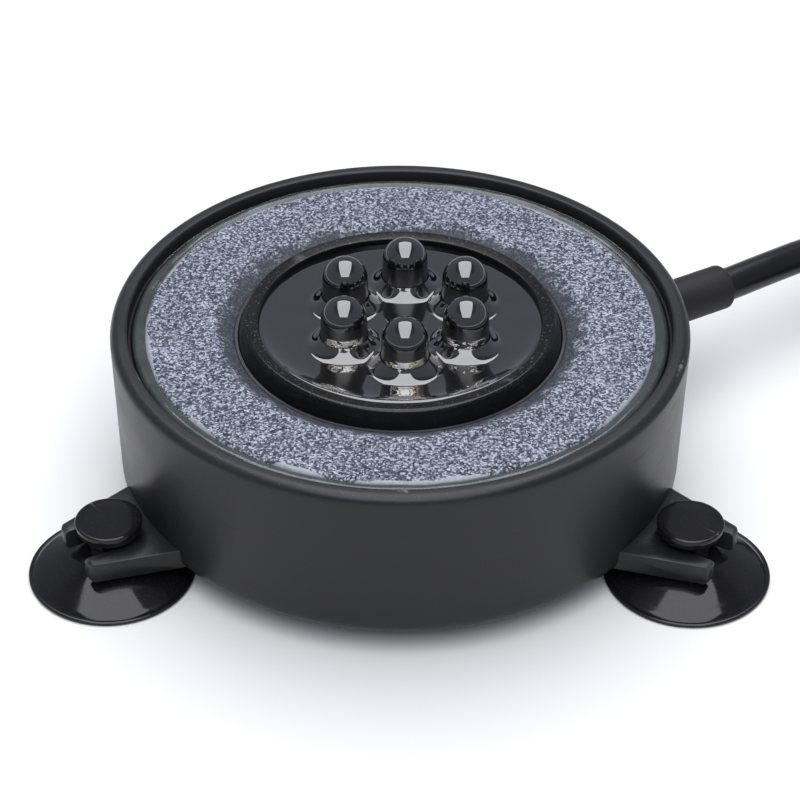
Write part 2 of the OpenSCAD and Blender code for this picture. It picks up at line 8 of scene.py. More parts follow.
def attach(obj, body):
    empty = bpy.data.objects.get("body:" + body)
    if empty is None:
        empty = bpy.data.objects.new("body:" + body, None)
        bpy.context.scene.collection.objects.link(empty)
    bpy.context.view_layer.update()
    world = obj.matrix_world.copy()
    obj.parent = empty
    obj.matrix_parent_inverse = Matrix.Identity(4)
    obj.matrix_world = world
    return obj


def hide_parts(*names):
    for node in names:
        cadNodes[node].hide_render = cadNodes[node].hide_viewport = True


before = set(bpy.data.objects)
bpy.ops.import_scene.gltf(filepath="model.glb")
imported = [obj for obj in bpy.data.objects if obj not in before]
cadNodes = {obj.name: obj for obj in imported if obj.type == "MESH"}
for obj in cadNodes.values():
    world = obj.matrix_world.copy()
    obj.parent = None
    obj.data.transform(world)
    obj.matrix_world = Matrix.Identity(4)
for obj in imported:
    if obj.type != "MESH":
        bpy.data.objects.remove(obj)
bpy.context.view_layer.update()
mm = 0.001
print("frame loaded,", len(cadNodes), "nodes")


# small helpers
def metres(point):
    return Vector([value * mm for value in point])


def setMode(mode):
    bpy.ops.object.mode_set(mode=mode)


def deselectAll():
    if bpy.context.object and bpy.context.object.mode != "OBJECT":
        setMode("OBJECT")
    bpy.ops.object.select_all(action="DESELECT")


def show(piece):
    bpy.context.scene.collection.objects.link(piece)
    return piece


def takeUp(piece):
    deselectAll()
    piece.select_set(True)
    bpy.context.view_layer.objects.active = piece


def settle(piece):
    # the piece keeps its place in its mesh, with its object at the origin
    takeUp(piece)
    bpy.ops.object.transform_apply(location=True, rotation=True, scale=True)
    return piece


def applyAll(piece):
    takeUp(piece)
    for modifier in list(piece.modifiers):
        bpy.ops.object.modifier_apply(modifier=modifier.name)


def smoothShade(piece, angle=35):
    takeUp(piece)
    bpy.ops.object.shade_smooth_by_angle(angle=math.radians(angle))


def turned(degrees, axis="Z"):
    return Matrix.Rotation(math.radians(degrees), 4, axis)


def moved(point):
    return Matrix.Translation(metres(point))


def addBlock(at, dimensions, angle=0):
    # a box about a point, turned about its upright axis
    deselectAll()
    bpy.ops.mesh.primitive_cube_add(size=1, location=metres(at), scale=metres(dimensions),
                                    rotation=(0, 0, math.radians(angle)))
    return settle(bpy.context.object)


def addRod(radius, length, at, axis="Z", vertices=64):
    lying = {"X": (0, math.pi / 2, 0), "Y": (math.pi / 2, 0, 0), "Z": (0, 0, 0)}
    deselectAll()
    bpy.ops.mesh.primitive_cylinder_add(vertices=vertices, radius=radius * mm, depth=length * mm,
                                        location=metres(at), rotation=lying[axis])
    return settle(bpy.context.object)


def bevelSharp(piece, width, segments=2, angle=30):
    bevel = piece.modifiers.new("edges", "BEVEL")
    bevel.width = width * mm
    bevel.segments = segments
    bevel.limit_method = "ANGLE"
    bevel.angle_limit = math.radians(angle)
    applyAll(piece)


def bevelEdges(piece, test, width, segments):
    # rounds the edges whose two ends pass the test
    setMode("EDIT")
    bpy.ops.mesh.select_mode(type="EDGE")
    setMode("OBJECT")
    for edge in piece.data.edges:
        edge.select = test(*(piece.data.vertices[v].co for v in edge.vertices))
    setMode("EDIT")
    bpy.ops.mesh.bevel(offset=width * mm, segments=segments, affect="EDGES")


def arcPoints(centre, radius, start, end, count):
    # points of an arc in a profile, as (distance from the axis, height)
    points = []
    for step in range(count + 1):
        angle = math.radians(start + (end - start) * step / count)
        points.append((centre[0] + radius * math.cos(angle), centre[1] + radius * math.sin(angle)))
    return points


def drawProfile(name, points):
    # one vertex, extruded from point to point, in millimetres from the axis and up
    deselectAll()
    first = points[0]
    bpy.ops.mesh.primitive_plane_add(size=mm, location=(first[0] * mm, 0, first[1] * mm))
    piece = bpy.context.object
    piece.name = name
    setMode("EDIT")
    bpy.ops.mesh.select_mode(type="VERT")
    bpy.ops.mesh.select_all(action="SELECT")
    bpy.ops.mesh.merge(type="CENTER")
    for here, there in zip(points, points[1:]):
        step = ((there[0] - here[0]) * mm, 0, (there[1] - here[1]) * mm)
        bpy.ops.mesh.extrude_region_move(TRANSFORM_OT_translate={"value": step})
    return piece


def spinPiece(name, points, steps=128):
    piece = drawProfile(name, points)
    bpy.ops.mesh.select_all(action="SELECT")
    bpy.ops.mesh.spin(steps=steps, angle=2 * math.pi, center=(0, 0, 0), axis=(0, 0, 1))
    bpy.ops.mesh.select_all(action="SELECT")
    bpy.ops.mesh.remove_doubles(threshold=0.002 * mm)
    bpy.ops.mesh.normals_make_consistent(inside=False)
    setMode("OBJECT")
    return settle(piece)


def cutOrJoin(piece, tool, operation):
    modifier = piece.modifiers.new(operation.lower(), "BOOLEAN")
    modifier.operation = operation
    modifier.solver = "EXACT"
    modifier.object = tool
    applyAll(piece)
    bpy.data.objects.remove(tool, do_unlink=True)
    return piece


def place(piece, matrix):
    # turns and moves the mesh itself, so the object stays at the origin
    piece.data.transform(matrix)
    piece.data.update()
    return piece


def copyOf(piece, name):
    twin = piece.copy()
    twin.data = piece.data.copy()
    twin.name = name
    return show(twin)


def joinPieces(pieces):
    deselectAll()
    for piece in pieces:
        piece.select_set(True)
    bpy.context.view_layer.objects.active = pieces[0]
    bpy.ops.object.join()
    return pieces[0]


def hand(piece, material, slot, body, *standsFor):
    # what every finished piece gets
    piece.data.materials.clear()
    piece.data.materials.append(material)
    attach(piece, body)
    if standsFor:
        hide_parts(*standsFor)
    return piece


# camera
cameraView = {
    "distance": 464.26,     # mm from the middle of the dish's underside
    "rise": 38.353,         # degrees above the floor
    "tiltUp": 1.166,        # degrees that it looks above that point
    "roll": 0.2,
    "lens": 116.35,
    "sensor": 36,
    "nearest": 10,
}


def setCamera(view):
    data = bpy.data.cameras.new("studioCamera")
    data.lens = view["lens"]
    data.sensor_width = view["sensor"]
    data.clip_start = view["nearest"] * mm
    camera = show(bpy.data.objects.new("studioCamera", data))
    rise = math.radians(view["rise"])
    spot = Vector((0, -math.cos(rise), math.sin(rise))) * view["distance"] * mm
    lookDown = view["rise"] - view["tiltUp"]
    camera.matrix_world = Matrix.Translation(spot) @ turned(90 - lookDown, "X") @ turned(view["roll"])
    bpy.context.scene.camera = camera


setCamera(cameraView)
print("camera set")

# cords
hoseRoute = {
    "diameter": 6.2,
    "angle": 30,            # direction out of the dish, degrees
    "height": 12.5,
    "inDish": 42.8,         # radius where the hose starts, inside the dish
    "exitRadius": 70,       # where the sleeve ends
    "lead": [(66, 38.6, 12.4), (71.5, 42.6, 12.1), (77, 46.8, 11.5), (83, 51.4, 10.1),
             (89, 56, 8.1), (95, 60.7, 5.7), (101, 65.4, 3.4), (107, 70.1, 1.5), (112, 74, 0.6)],
    "tail": [(180, 27, 6.1), (176.8, 14, 4.4), (171, 3.8, 2.4), (165, -3, 1.3), (160, -8, 1)],
    "coilCentre": (138, 40),
    "outerTurn": 42.8,
    "innerTurn": 28.2,
    "lowTurns": 2,
    "lowHeight": 0.5,
    "climb": 0.35,          # turns that the step to the upper layer takes
    "pointsPerTurn": 72,
    "length": 1150,
}
teePlace = {"at": (160, -8, 1), "angle": 225, "socket": 8, "play": 0.05, "length": 28, "inlet": 11,
            "branch": 17, "branchLength": 6, "gland": 8}
leadRoute = {
    "diameter": 3.5,
    "length": 100,
    "start": 2,             # from the tee's axis
    "points": [(158, -30, 1), (161.5, -33.5, 0.4), (166, -37.4, -0.7), (172, -41.2, -1.5),
               (179, -43.3, -1.8), (186, -43.3, -1.8), (192.5, -41, -1.8), (198, -36.5, -1.8),
               (201, -30, -1.8), (201, -23, -1.6), (198.8, -16, -0.9), (196.5, -9, 0.2),
               (195.1, -3, 1.3), (195, 4, 1.4)],
}


def teePoint(along, aside):
    # along the tee from the hose's mouth, and out towards its branch
    angle = math.radians(teePlace["angle"])
    x, y, z = teePlace["at"]
    return (x + along * math.cos(angle) - aside * math.sin(angle),
            y + along * math.sin(angle) + aside * math.cos(angle), z)


def ease(share):
    share = min(max(share, 0), 1)
    return share * share * (3 - 2 * share)


def smoothRoute(points, perSpan=4):
    # a curve through every point
    spots = [Vector(point) for point in points]
    route = []
    for index in range(len(spots) - 1):
        before = spots[max(index - 1, 0)]
        here, there = spots[index], spots[index + 1]
        after = spots[min(index + 2, len(spots) - 1)]
        for step in range(perSpan):
            t = step / perSpan
            route.append(0.5 * (2 * here + (there - before) * t
                                + (2 * before - 5 * here + 4 * there - after) * t * t
                                + (3 * here - before - 3 * there + after) * t ** 3))
    return route + [spots[-1]]


def coilRoute(route):
    cx, cy = route["coilCentre"]
    pitch = route["diameter"]
    first = route["lead"][-1]
    startAngle = math.degrees(math.atan2(first[1] - cy, first[0] - cx))
    topTurns = (route["outerTurn"] - route["innerTurn"]) / pitch
    lowEnd = route["outerTurn"] - pitch * route["lowTurns"]
    count = round((route["lowTurns"] + topTurns) * route["pointsPerTurn"])
    points = []
    for step in range(1, count + 1):
        turns = (route["lowTurns"] + topTurns) * step / count
        radius = route["outerTurn"] - pitch * turns
        height = route["lowHeight"]
        if turns > route["lowTurns"]:
            over = turns - route["lowTurns"]
            up = ease(over / route["climb"])
            radius = route["innerTurn"] + pitch * over + (lowEnd - route["innerTurn"]) * (1 - up)
            height += pitch * up
        angle = math.radians(startAngle - 360 * turns)
        points.append((cx + radius * math.cos(angle), cy + radius * math.sin(angle), height))
    return points


def layCord(name, points, diameter):
    curve = bpy.data.curves.new(name, "CURVE")
    curve.dimensions = "3D"
    curve.bevel_depth = diameter / 2 * mm
    curve.bevel_resolution = 6
    curve.use_fill_caps = True
    spline = curve.splines.new("POLY")
    spline.points.add(len(points) - 1)
    for spot, point in zip(spline.points, points):
        spot.co = (*metres(point), 1)
    spline.use_smooth = True
    return show(bpy.data.objects.new(name, curve))


def hoseStart(route):
    angle = math.radians(route["angle"])
    out = Vector((math.cos(angle), math.sin(angle), 0))
    up = Vector((0, 0, route["height"]))
    radii = (route["inDish"], (route["inDish"] + route["exitRadius"]) / 2, route["exitRadius"])
    return [out * radius + up for radius in radii]


inSleeve = hoseStart(hoseRoute)
hoseMouth = teePoint(teePlace["socket"] - teePlace["play"], 0)
coil = coilRoute(hoseRoute)
hoseLine = smoothRoute(inSleeve + hoseRoute["lead"]) + coil
hoseLine += smoothRoute([coil[-1]] + hoseRoute["tail"] + [hoseMouth])[1:]
hose = layCord("supplyHose", hoseLine, hoseRoute["diameter"])
leadStart = [teePoint(teePlace["branch"], leadRoute["start"]),
             teePoint(teePlace["branch"], teePlace["branchLength"] + teePlace["gland"] / 2)]
powerLead = layCord("powerLead", smoothRoute(leadStart + leadRoute["points"]), leadRoute["diameter"])
print("cords laid")


# shader node groups
def newGroup(name, inputs, outputs):
    group = bpy.data.node_groups.new(name, "ShaderNodeTree")
    for label, value in inputs.items():
        socket = group.interface.new_socket(name=label, in_out="INPUT", socket_type="NodeSocketFloat")
        socket.default_value = value
    for label in outputs:
        group.interface.new_socket(name=label, in_out="OUTPUT", socket_type="NodeSocketFloat")
    tree = group.nodes
    return group, tree.new("NodeGroupInput"), tree.new("NodeGroupOutput")


def calc(tree, operation, first, second=None, clamp=False):
    node = tree.nodes.new("ShaderNodeMath")
    node.operation = operation
    node.use_clamp = clamp
    for socket, value in zip(node.inputs, (first, second)):
        if value is None:
            continue
        if isinstance(value, (int, float)):
            socket.default_value = value
        else:
            tree.links.new(value, socket)
    return node.outputs[0]


def remap(tree, value, low, high, newLow=0, newHigh=1):
    node = tree.nodes.new("ShaderNodeMapRange")
    node.interpolation_type = "SMOOTHSTEP"
    tree.links.new(value, node.inputs["Value"])
    for label, number in zip(("From Min", "From Max", "To Min", "To Max"), (low, high, newLow, newHigh)):
        if isinstance(number, (int, float)):
            node.inputs[label].default_value = number
        else:
            tree.links.new(number, node.inputs[label])
    return node.outputs["Result"]


def times(tree, first, second):
    return calc(tree, "MULTIPLY", first, second)


def coordsOf(tree, kind="Object"):
    return tree.nodes.new("ShaderNodeTexCoord").outputs[kind]


def splitOf(tree, vector):
    parts = tree.nodes.new("ShaderNodeSeparateXYZ")
    tree.links.new(vector, parts.inputs[0])
    return parts.outputs


def grainNoise(tree, scale, detail=2, rough=0.5, stretch=None):
    spots = coordsOf(tree)
    if stretch:
        mapping = tree.nodes.new("ShaderNodeMapping")
        mapping.inputs["Scale"].default_value = stretch
        tree.links.new(spots, mapping.inputs["Vector"])
        spots = mapping.outputs["Vector"]
    node = tree.nodes.new("ShaderNodeTexNoise")
    node.inputs["Detail"].default_value = detail
    node.inputs["Roughness"].default_value = rough
    tree.links.new(spots, node.inputs["Vector"])
    if isinstance(scale, (int, float)):
        node.inputs["Scale"].default_value = scale
    else:
        tree.links.new(scale, node.inputs["Scale"])
    return node.outputs["Fac"]


def makeMouldGrain():
    # fine spark texture of moulded plastic and rubber: height for bump, patches for gloss
    group, given, result = newGroup("mouldGrain", {"Fineness": 1800, "Patches": 60}, ["Height", "Patch"])
    fine = grainNoise(group, given.outputs["Fineness"], 3, 0.6)
    patch = grainNoise(group, given.outputs["Patches"], 3, 0.55)
    group.links.new(fine, result.inputs["Height"])
    group.links.new(remap(group, patch, 0.3, 0.7), result.inputs["Patch"])
    return group


def makeHandling():
    # dust that settles on what faces up, and light rubbing in long thin marks
    group, given, result = newGroup("handling", {"Dust": 0.5, "Rubbing": 0.3}, ["Dust", "Rubbed"])
    up = remap(group, splitOf(group, coordsOf(group, "Normal"))["Z"], 0.2, 1)
    specks = remap(group, grainNoise(group, 1900, 3, 0.75), 0.56, 0.74)
    dust = times(group, times(group, up, specks), given.outputs["Dust"])
    streaks = remap(group, grainNoise(group, 90, 2, 0.5, (1, 1, 14)), 0.6, 0.72)
    rubbed = times(group, streaks, given.outputs["Rubbing"])
    group.links.new(dust, result.inputs["Dust"])
    group.links.new(rubbed, result.inputs["Rubbed"])
    return group


def makeEdgeWearAndHighlight():
    # edges go lighter: wear where they touch things first, and a painted highlight along them
    group, given, result = newGroup("edgeWearAndHighlight", {"Reach": 0.55}, ["Edge"])
    pointed = group.nodes.new("ShaderNodeNewGeometry").outputs["Pointiness"]
    edge = remap(group, pointed, 0.53, given.outputs["Reach"])
    broken = remap(group, grainNoise(group, 700, 3, 0.6), 0.35, 0.6)
    group.links.new(times(group, edge, broken), result.inputs["Edge"])
    return group


mouldGrain = makeMouldGrain()
handling = makeHandling()
edgeWearAndHighlight = makeEdgeWearAndHighlight()


# materials
def startMaterial(name, look):
    material = bpy.data.materials.new(name)
    material.use_nodes = True
    tree = material.node_tree
    shader = tree.nodes["Principled BSDF"]
    shader.inputs["IOR"].default_value = look.get("ior", 1.5)
    shader.inputs["Metallic"].default_value = look.get("metallic", 0)
    shader.inputs["Specular IOR Level"].default_value = look.get("specular", 0.5)
    shader.inputs["Coat Weight"].default_value = look.get("coat", 0)
    shader.inputs["Coat Roughness"].default_value = look.get("coatRoughness", 0.1)
    return material, tree, shader


def useGroup(tree, group, values):
    node = tree.nodes.new("ShaderNodeGroup")
    node.node_tree = group
    for label, value in values.items():
        node.inputs[label].default_value = value
    return node


def mixColours(tree, factor, first, second):
    node = tree.nodes.new("ShaderNodeMix")
    node.data_type = "RGBA"
    tree.links.new(factor, node.inputs["Factor"])
    for socket, value in zip((node.inputs[6], node.inputs[7]), (first, second)):
        if isinstance(value, tuple):
            socket.default_value = (*value, 1)
        else:
            tree.links.new(value, socket)
    return node.outputs[2]


def paint(tree, shader, colour, rough):
    tree.links.new(colour, shader.inputs["Base Color"])
    tree.links.new(rough, shader.inputs["Roughness"])


def bumpFrom(tree, shader, height, depth):
    bump = tree.nodes.new("ShaderNodeBump")
    bump.inputs["Strength"].default_value = 1
    bump.inputs["Distance"].default_value = depth * mm
    tree.links.new(height, bump.inputs["Height"])
    tree.links.new(bump.outputs["Normal"], shader.inputs["Normal"])


moulded = {"patches": 60, "dust": 0.3, "rubbing": 0.3, "rubbedGloss": 0.25, "edge": 0, "edgeReach": 0.62,
           "dustColour": (0.14, 0.14, 0.15), "edgeWearHighlightColour": (0.20, 0.20, 0.21)}


def mouldedFinish(name, given):
    # plastic, rubber and lacquer: mould grain, gloss patches, dust, and edges lighter from wear and a
    # painted highlight
    look = {**moulded, **given}
    material, tree, shader = startMaterial(name, look)
    grain = useGroup(tree, mouldGrain, {"Fineness": look["fineness"], "Patches": look["patches"]})
    marks = useGroup(tree, handling, {"Dust": look["dust"], "Rubbing": look["rubbing"]})
    edge = useGroup(tree, edgeWearAndHighlight, {"Reach": look["edgeReach"]})
    colour = mixColours(tree, grain.outputs["Patch"], look["colour"], look["shade"])
    colour = mixColours(tree, marks.outputs["Dust"], colour, look["dustColour"])
    colour = mixColours(tree, times(tree, edge.outputs["Edge"], look["edge"]), colour, look["edgeWearHighlightColour"])
    rough = remap(tree, grain.outputs["Patch"], 0, 1, *look["roughness"])
    rough = calc(tree, "ADD", rough, times(tree, marks.outputs["Rubbed"], look["rubbedGloss"]), True)
    paint(tree, shader, colour, rough)
    bumpFrom(tree, shader, grain.outputs["Height"], look["bump"])
    return material


finishes = {
    "casing": {"colour": (0.0135, 0.0140, 0.0160), "shade": (0.0165, 0.0170, 0.0190),
               "roughness": (0.31, 0.39), "fineness": 2600, "patches": 45,
               "bump": 0.030, "dust": 0.30, "edge": 0.75, "specular": 0.30},
    "lampCup": {"colour": (0.0030, 0.0030, 0.0036), "shade": (0.0042, 0.0042, 0.005),
                "roughness": (0.16, 0.24), "fineness": 1500,
                "bump": 0.010, "dust": 0.8, "edge": 0.3, "specular": 0.3},
    "darkSeal": {"colour": (0.02, 0.02, 0.022), "shade": (0.03, 0.03, 0.032),
                 "roughness": (0.3, 0.5), "fineness": 900, "bump": 0.05},
    "board": {"colour": (0.010, 0.085, 0.030), "shade": (0.014, 0.11, 0.04),
              "roughness": (0.25, 0.35), "fineness": 1200, "bump": 0.01},
    "resistor": {"colour": (0.42, 0.33, 0.19), "shade": (0.36, 0.27, 0.15),
                 "roughness": (0.25, 0.35), "fineness": 1200, "bump": 0.02},
    "wireRed": {"colour": (0.42, 0.012, 0.010), "shade": (0.34, 0.01, 0.008),
                "roughness": (0.3, 0.4), "fineness": 1500, "bump": 0.01},
    "wireBlack": {"colour": (0.012, 0.012, 0.013), "shade": (0.018, 0.018, 0.02),
                  "roughness": (0.3, 0.4), "fineness": 1500, "bump": 0.01},
    "sleeve": {"colour": (0.0155, 0.0155, 0.0185), "shade": (0.0185, 0.0185, 0.022),
               "roughness": (0.46, 0.56), "fineness": 1900,
               "bump": 0.025, "dust": 0.15, "edge": 0.6, "specular": 0.24},
    "hose": {"colour": (0.0070, 0.0070, 0.0085), "shade": (0.0090, 0.0090, 0.0108),
             "roughness": (0.27, 0.34), "fineness": 1500, "patches": 80,
             "bump": 0.012, "dust": 0.10, "specular": 0.30},
    "cup": {"colour": (0.0075, 0.0075, 0.0088), "shade": (0.0092, 0.0092, 0.0106),
            "roughness": (0.07, 0.11), "fineness": 1600, "patches": 90,
            "bump": 0.003, "dust": 0.10, "edge": 0.8, "specular": 0.32},
    "tie": {"colour": (0.018, 0.018, 0.020), "shade": (0.024, 0.024, 0.026),
            "roughness": (0.35, 0.45), "fineness": 1500, "bump": 0.02},
    "fitting": {"colour": (0.012, 0.012, 0.014), "shade": (0.016, 0.016, 0.019),
                "roughness": (0.26, 0.36), "fineness": 1700, "bump": 0.015, "edge": 0.4},
    "lead": {"colour": (0.009, 0.009, 0.011), "shade": (0.012, 0.012, 0.014),
             "roughness": (0.36, 0.46), "fineness": 1700, "bump": 0.012, "specular": 0.35},
    "plug": {"colour": (0.011, 0.011, 0.013), "shade": (0.014, 0.014, 0.017),
             "roughness": (0.38, 0.48), "fineness": 2200, "bump": 0.025, "edge": 0.4, "specular": 0.38},
}
finish = {name: mouldedFinish(name + "Finish", look) for name, look in finishes.items()}


def radiusFrom(tree):
    # distance from the dish's axis, in millimetres
    flat = tree.nodes.new("ShaderNodeVectorMath")
    flat.operation = "MULTIPLY"
    flat.inputs[1].default_value = (1 / mm, 1 / mm, 0)
    tree.links.new(coordsOf(tree), flat.inputs[0])
    size = tree.nodes.new("ShaderNodeVectorMath")
    size.operation = "LENGTH"
    tree.links.new(flat.outputs[0], size.inputs[0])
    return size.outputs["Value"]


stoneLook = {
    "specular": 0.35, "bump": 0.05,
    "grain": 0.32,          # mm across one grain
    "fineness": 4200,
    "dark": (0.009, 0.012, 0.024), "middle": (0.096, 0.112, 0.158), "light": (0.52, 0.56, 0.67),
    "stops": (0.16, 0.52, 0.90),
    "cellShare": 0.72, "fineShare": 0.36,
    "pitShade": 0.55,
    "nearPodDark": (0.030, 0.034, 0.044),
    "nearPodDarkTo": 31.0,       # radius out to which the stone is darker and glossier, from the pod, mm
    "nearPodDarkSpread": (-0.9, 1.3), "nearPodDarkMost": 0.88, "ragged": 1.7,
    "bleedFrom": 43.35,     # radius from which the clear seal covers the grains, mm
    "bleedSpread": 0.15, "bleedMost": 0.85,
    "bleedSheenColour": (0.34, 0.37, 0.42),
    "roughness": (0.82, 0.2),       # dry, then wet
}


def stoneFinish(look):
    material, tree, shader = startMaterial("stoneFinish", look)
    cells = tree.nodes.new("ShaderNodeTexVoronoi")
    cells.inputs["Scale"].default_value = 1 / (look["grain"] * mm)
    tree.links.new(coordsOf(tree), cells.inputs["Vector"])
    parts = tree.nodes.new("ShaderNodeSeparateColor")
    tree.links.new(cells.outputs["Color"], parts.inputs[0])
    ramp = tree.nodes.new("ShaderNodeValToRGB")
    ramp.color_ramp.elements.new(0.5)
    for element, stop, shade in zip(ramp.color_ramp.elements, look["stops"], ("dark", "middle", "light")):
        element.position = stop
        element.color = (*look[shade], 1)
    fine = grainNoise(tree, look["fineness"], 2, 0.6)
    tone = calc(tree, "ADD", times(tree, parts.outputs["Red"], look["cellShare"]),
                times(tree, fine, look["fineShare"]))
    patch = remap(tree, grainNoise(tree, 110, 3, 0.6), 0.3, 0.7, -0.02, 0.02)
    tree.links.new(calc(tree, "ADD", tone, patch), ramp.inputs["Fac"])
    # painted shade: the pits between the grains are darkened
    pitShade = times(tree, remap(tree, cells.outputs["Distance"], 0.55, 0.95), look["pitShade"])
    colour = mixColours(tree, pitShade, ramp.outputs["Color"], look["dark"])
    radius = radiusFrom(tree)
    # darker and glossier towards the pod, with a ragged edge
    ragged = remap(tree, grainNoise(tree, 260, 4, 0.65), 0.2, 0.8, -look["ragged"], look["ragged"])
    near, far = (look["nearPodDarkTo"] + spread for spread in look["nearPodDarkSpread"])
    nearPodDark = remap(tree, calc(tree, "ADD", radius, ragged), near, far, look["nearPodDarkMost"], 0)
    colour = mixColours(tree, nearPodDark, colour, look["nearPodDark"])
    # painted sheen: where the clear seal's film covers the outer grains, they get a pale colour for its
    # sheen; the film also makes them glossier and smoother
    wavy = remap(tree, grainNoise(tree, 70, 4, 0.6), 0.35, 0.65, -0.95, 0.5)
    start, most = look["bleedFrom"], look["bleedMost"]
    bleedWithSheen = remap(tree, calc(tree, "ADD", radius, wavy), start, start + look["bleedSpread"], 0, most)
    colour = mixColours(tree, bleedWithSheen, colour, look["bleedSheenColour"])
    wet = calc(tree, "MAXIMUM", times(tree, nearPodDark, 0.4), times(tree, bleedWithSheen, 0.85))
    paint(tree, shader, colour, remap(tree, wet, 0, 1, *look["roughness"]))
    height = calc(tree, "SUBTRACT", fine, cells.outputs["Distance"])
    height = times(tree, height, remap(tree, bleedWithSheen, 0, most, 1, 0.1))
    bumpFrom(tree, shader, height, look["bump"])
    return material


sealLook = {"colour": (0.070, 0.082, 0.080), "alpha": 0.85, "roughness": (0.10, 0.22), "coat": 0.3,
            "bump": 0.12, "dustColour": (0.30, 0.31, 0.30),
            "trench": 46.1, "trenchShadeColour": (0.006, 0.006, 0.007)}


def sealFinish(look):
    material, tree, shader = startMaterial("sealFinish", look)
    marks = useGroup(tree, handling, {"Dust": 0.25, "Rubbing": 0.2})
    cloud = remap(tree, grainNoise(tree, 140, 3, 0.55), 0.3, 0.7)
    colour = mixColours(tree, cloud, look["colour"], tuple(0.7 * part for part in look["colour"]))
    colour = mixColours(tree, marks.outputs["Dust"], colour, look["dustColour"])
    # thin there, with painted shade: near black in the trench where it meets the wall
    trench = remap(tree, radiusFrom(tree), look["trench"], look["trench"] + 0.2)
    colour = mixColours(tree, trench, colour, look["trenchShadeColour"])
    paint(tree, shader, colour, remap(tree, cloud, 0, 1, *look["roughness"]))
    tree.links.new(remap(tree, cloud, 0, 1, look["alpha"], look["alpha"] - 0.15), shader.inputs["Alpha"])
    bumpFrom(tree, shader, grainNoise(tree, 260, 3, 0.55), look["bump"])
    return material


resinLook = {"colour": (0.0040, 0.0040, 0.0050), "roughness": (0.020, 0.05), "specular": 1.0, "coat": 1.0,
             "coatRoughness": 0.02, "bump": 0.03, "dustColour": (0.12, 0.12, 0.125)}


def resinFinish(look):
    material, tree, shader = startMaterial("resinFinish", look)
    marks = useGroup(tree, handling, {"Dust": 0.10, "Rubbing": 0.1})
    specks = remap(tree, grainNoise(tree, 2600, 2, 0.5), 0.74, 0.78)
    dusty = calc(tree, "MAXIMUM", marks.outputs["Dust"], times(tree, specks, 0.35))
    cloud = remap(tree, grainNoise(tree, 90, 3, 0.5), 0.35, 0.7)
    colour = mixColours(tree, dusty, look["colour"], look["dustColour"])
    paint(tree, shader, colour, remap(tree, cloud, 0, 1, *look["roughness"]))
    bumpFrom(tree, shader, grainNoise(tree, 160, 2, 0.5), look["bump"])
    return material


lensLook = {
    "colour": (0.004, 0.004, 0.005), "roughness": (0.015, 0.05), "bump": 0.008,
    "ior": 1.62, "specular": 1.0,
    "glint": (30.25, 31.9),         # heights of the band with the painted glint, mm
    "glintEdge": (0.2, 0.5), "glintNear": (-5, 1), "glintFacing": (-0.85, -0.5),
    "silver": (1.0, 0.98, 0.93), "gold": (0.95, 0.80, 0.48), "crumple": 30,
    "sideTo": 33.9, "sideFade": 0.3, "sideRoughness": 0.26,
}


def lensFinish(look):
    # smoked epoxy, black in the dome; a painted glint of silver and gold metal on its foot, on the side
    # that faces the front
    material, tree, shader = startMaterial("lensFinish", look)
    parts = splitOf(tree, coordsOf(tree))
    (low, high), (lowEdge, highEdge) = look["glint"], look["glintEdge"]
    rising = remap(tree, parts["Z"], low * mm, (low + lowEdge) * mm)
    falling = remap(tree, parts["Z"], (high - highEdge) * mm, high * mm, 1, 0)
    nearest, farthest = look["glintNear"]
    near = remap(tree, parts["Y"], nearest * mm, farthest * mm, 1, 0)
    sides = splitOf(tree, coordsOf(tree, "Normal"))
    near = times(tree, near, remap(tree, sides["Y"], *look["glintFacing"], 1, 0))
    broken = remap(tree, grainNoise(tree, 420, 4, 0.7, (1, 1, 1.8)), 0.47, 0.53)
    glint = times(tree, times(tree, rising, falling), times(tree, near, broken))
    swirl = remap(tree, grainNoise(tree, 300, 3, 0.6), 0.35, 0.7)
    smoke = mixColours(tree, swirl, look["colour"], tuple(1.6 * part for part in look["colour"]))
    glintTint = remap(tree, grainNoise(tree, 800, 2, 0.5), 0.5, 0.7)
    metal = mixColours(tree, glintTint, look["silver"], look["gold"])
    tree.links.new(glint, shader.inputs["Metallic"])
    top = look["sideTo"]
    side = remap(tree, parts["Z"], (top - look["sideFade"]) * mm, top * mm, look["sideRoughness"], 0)
    rough = calc(tree, "ADD", remap(tree, swirl, 0, 1, *look["roughness"]), side)
    paint(tree, shader, mixColours(tree, glint, smoke, metal), rough)
    crumple = times(tree, times(tree, grainNoise(tree, 1300, 2, 0.6), glint), look["crumple"])
    bumpFrom(tree, shader, calc(tree, "ADD", grainNoise(tree, 350, 2, 0.5), crumple), look["bump"])
    return material


def metalFinish(name, look):
    material, tree, shader = startMaterial(name, {"metallic": 1, **look})
    streak = remap(tree, grainNoise(tree, look["fineness"], 3, 0.6, look.get("stretch")), 0.3, 0.7)
    colour = mixColours(tree, streak, look["colour"], look["shade"])
    paint(tree, shader, colour, remap(tree, streak, 0, 1, *look["roughness"]))
    bumpFrom(tree, shader, streak, look["bump"])
    return material


metals = {
    "reflector": {"colour": (0.95, 0.90, 0.78), "shade": (0.85, 0.72, 0.42), "roughness": (0.08, 0.25),
                  "fineness": 900, "bump": 0.05},
    "solder": {"colour": (0.72, 0.73, 0.75), "shade": (0.55, 0.56, 0.58), "roughness": (0.2, 0.35),
               "fineness": 700, "bump": 0.03},
    "plugMetal": {"colour": (0.78, 0.78, 0.80), "shade": (0.66, 0.66, 0.68), "roughness": (0.12, 0.24),
                  "fineness": 600, "bump": 0.01, "stretch": (1, 6, 1)},
    "contact": {"colour": (0.80, 0.62, 0.28), "shade": (0.66, 0.48, 0.20), "roughness": (0.2, 0.3),
                "fineness": 600, "bump": 0.01},
}
finish.update({name: metalFinish(name + "Finish", look) for name, look in metals.items()})
finish["stone"] = stoneFinish(stoneLook)
finish["seal"] = sealFinish(sealLook)
finish["resin"] = resinFinish(resinLook)
finish["lens"] = lensFinish(lensLook)
print("materials made:", len(finish))

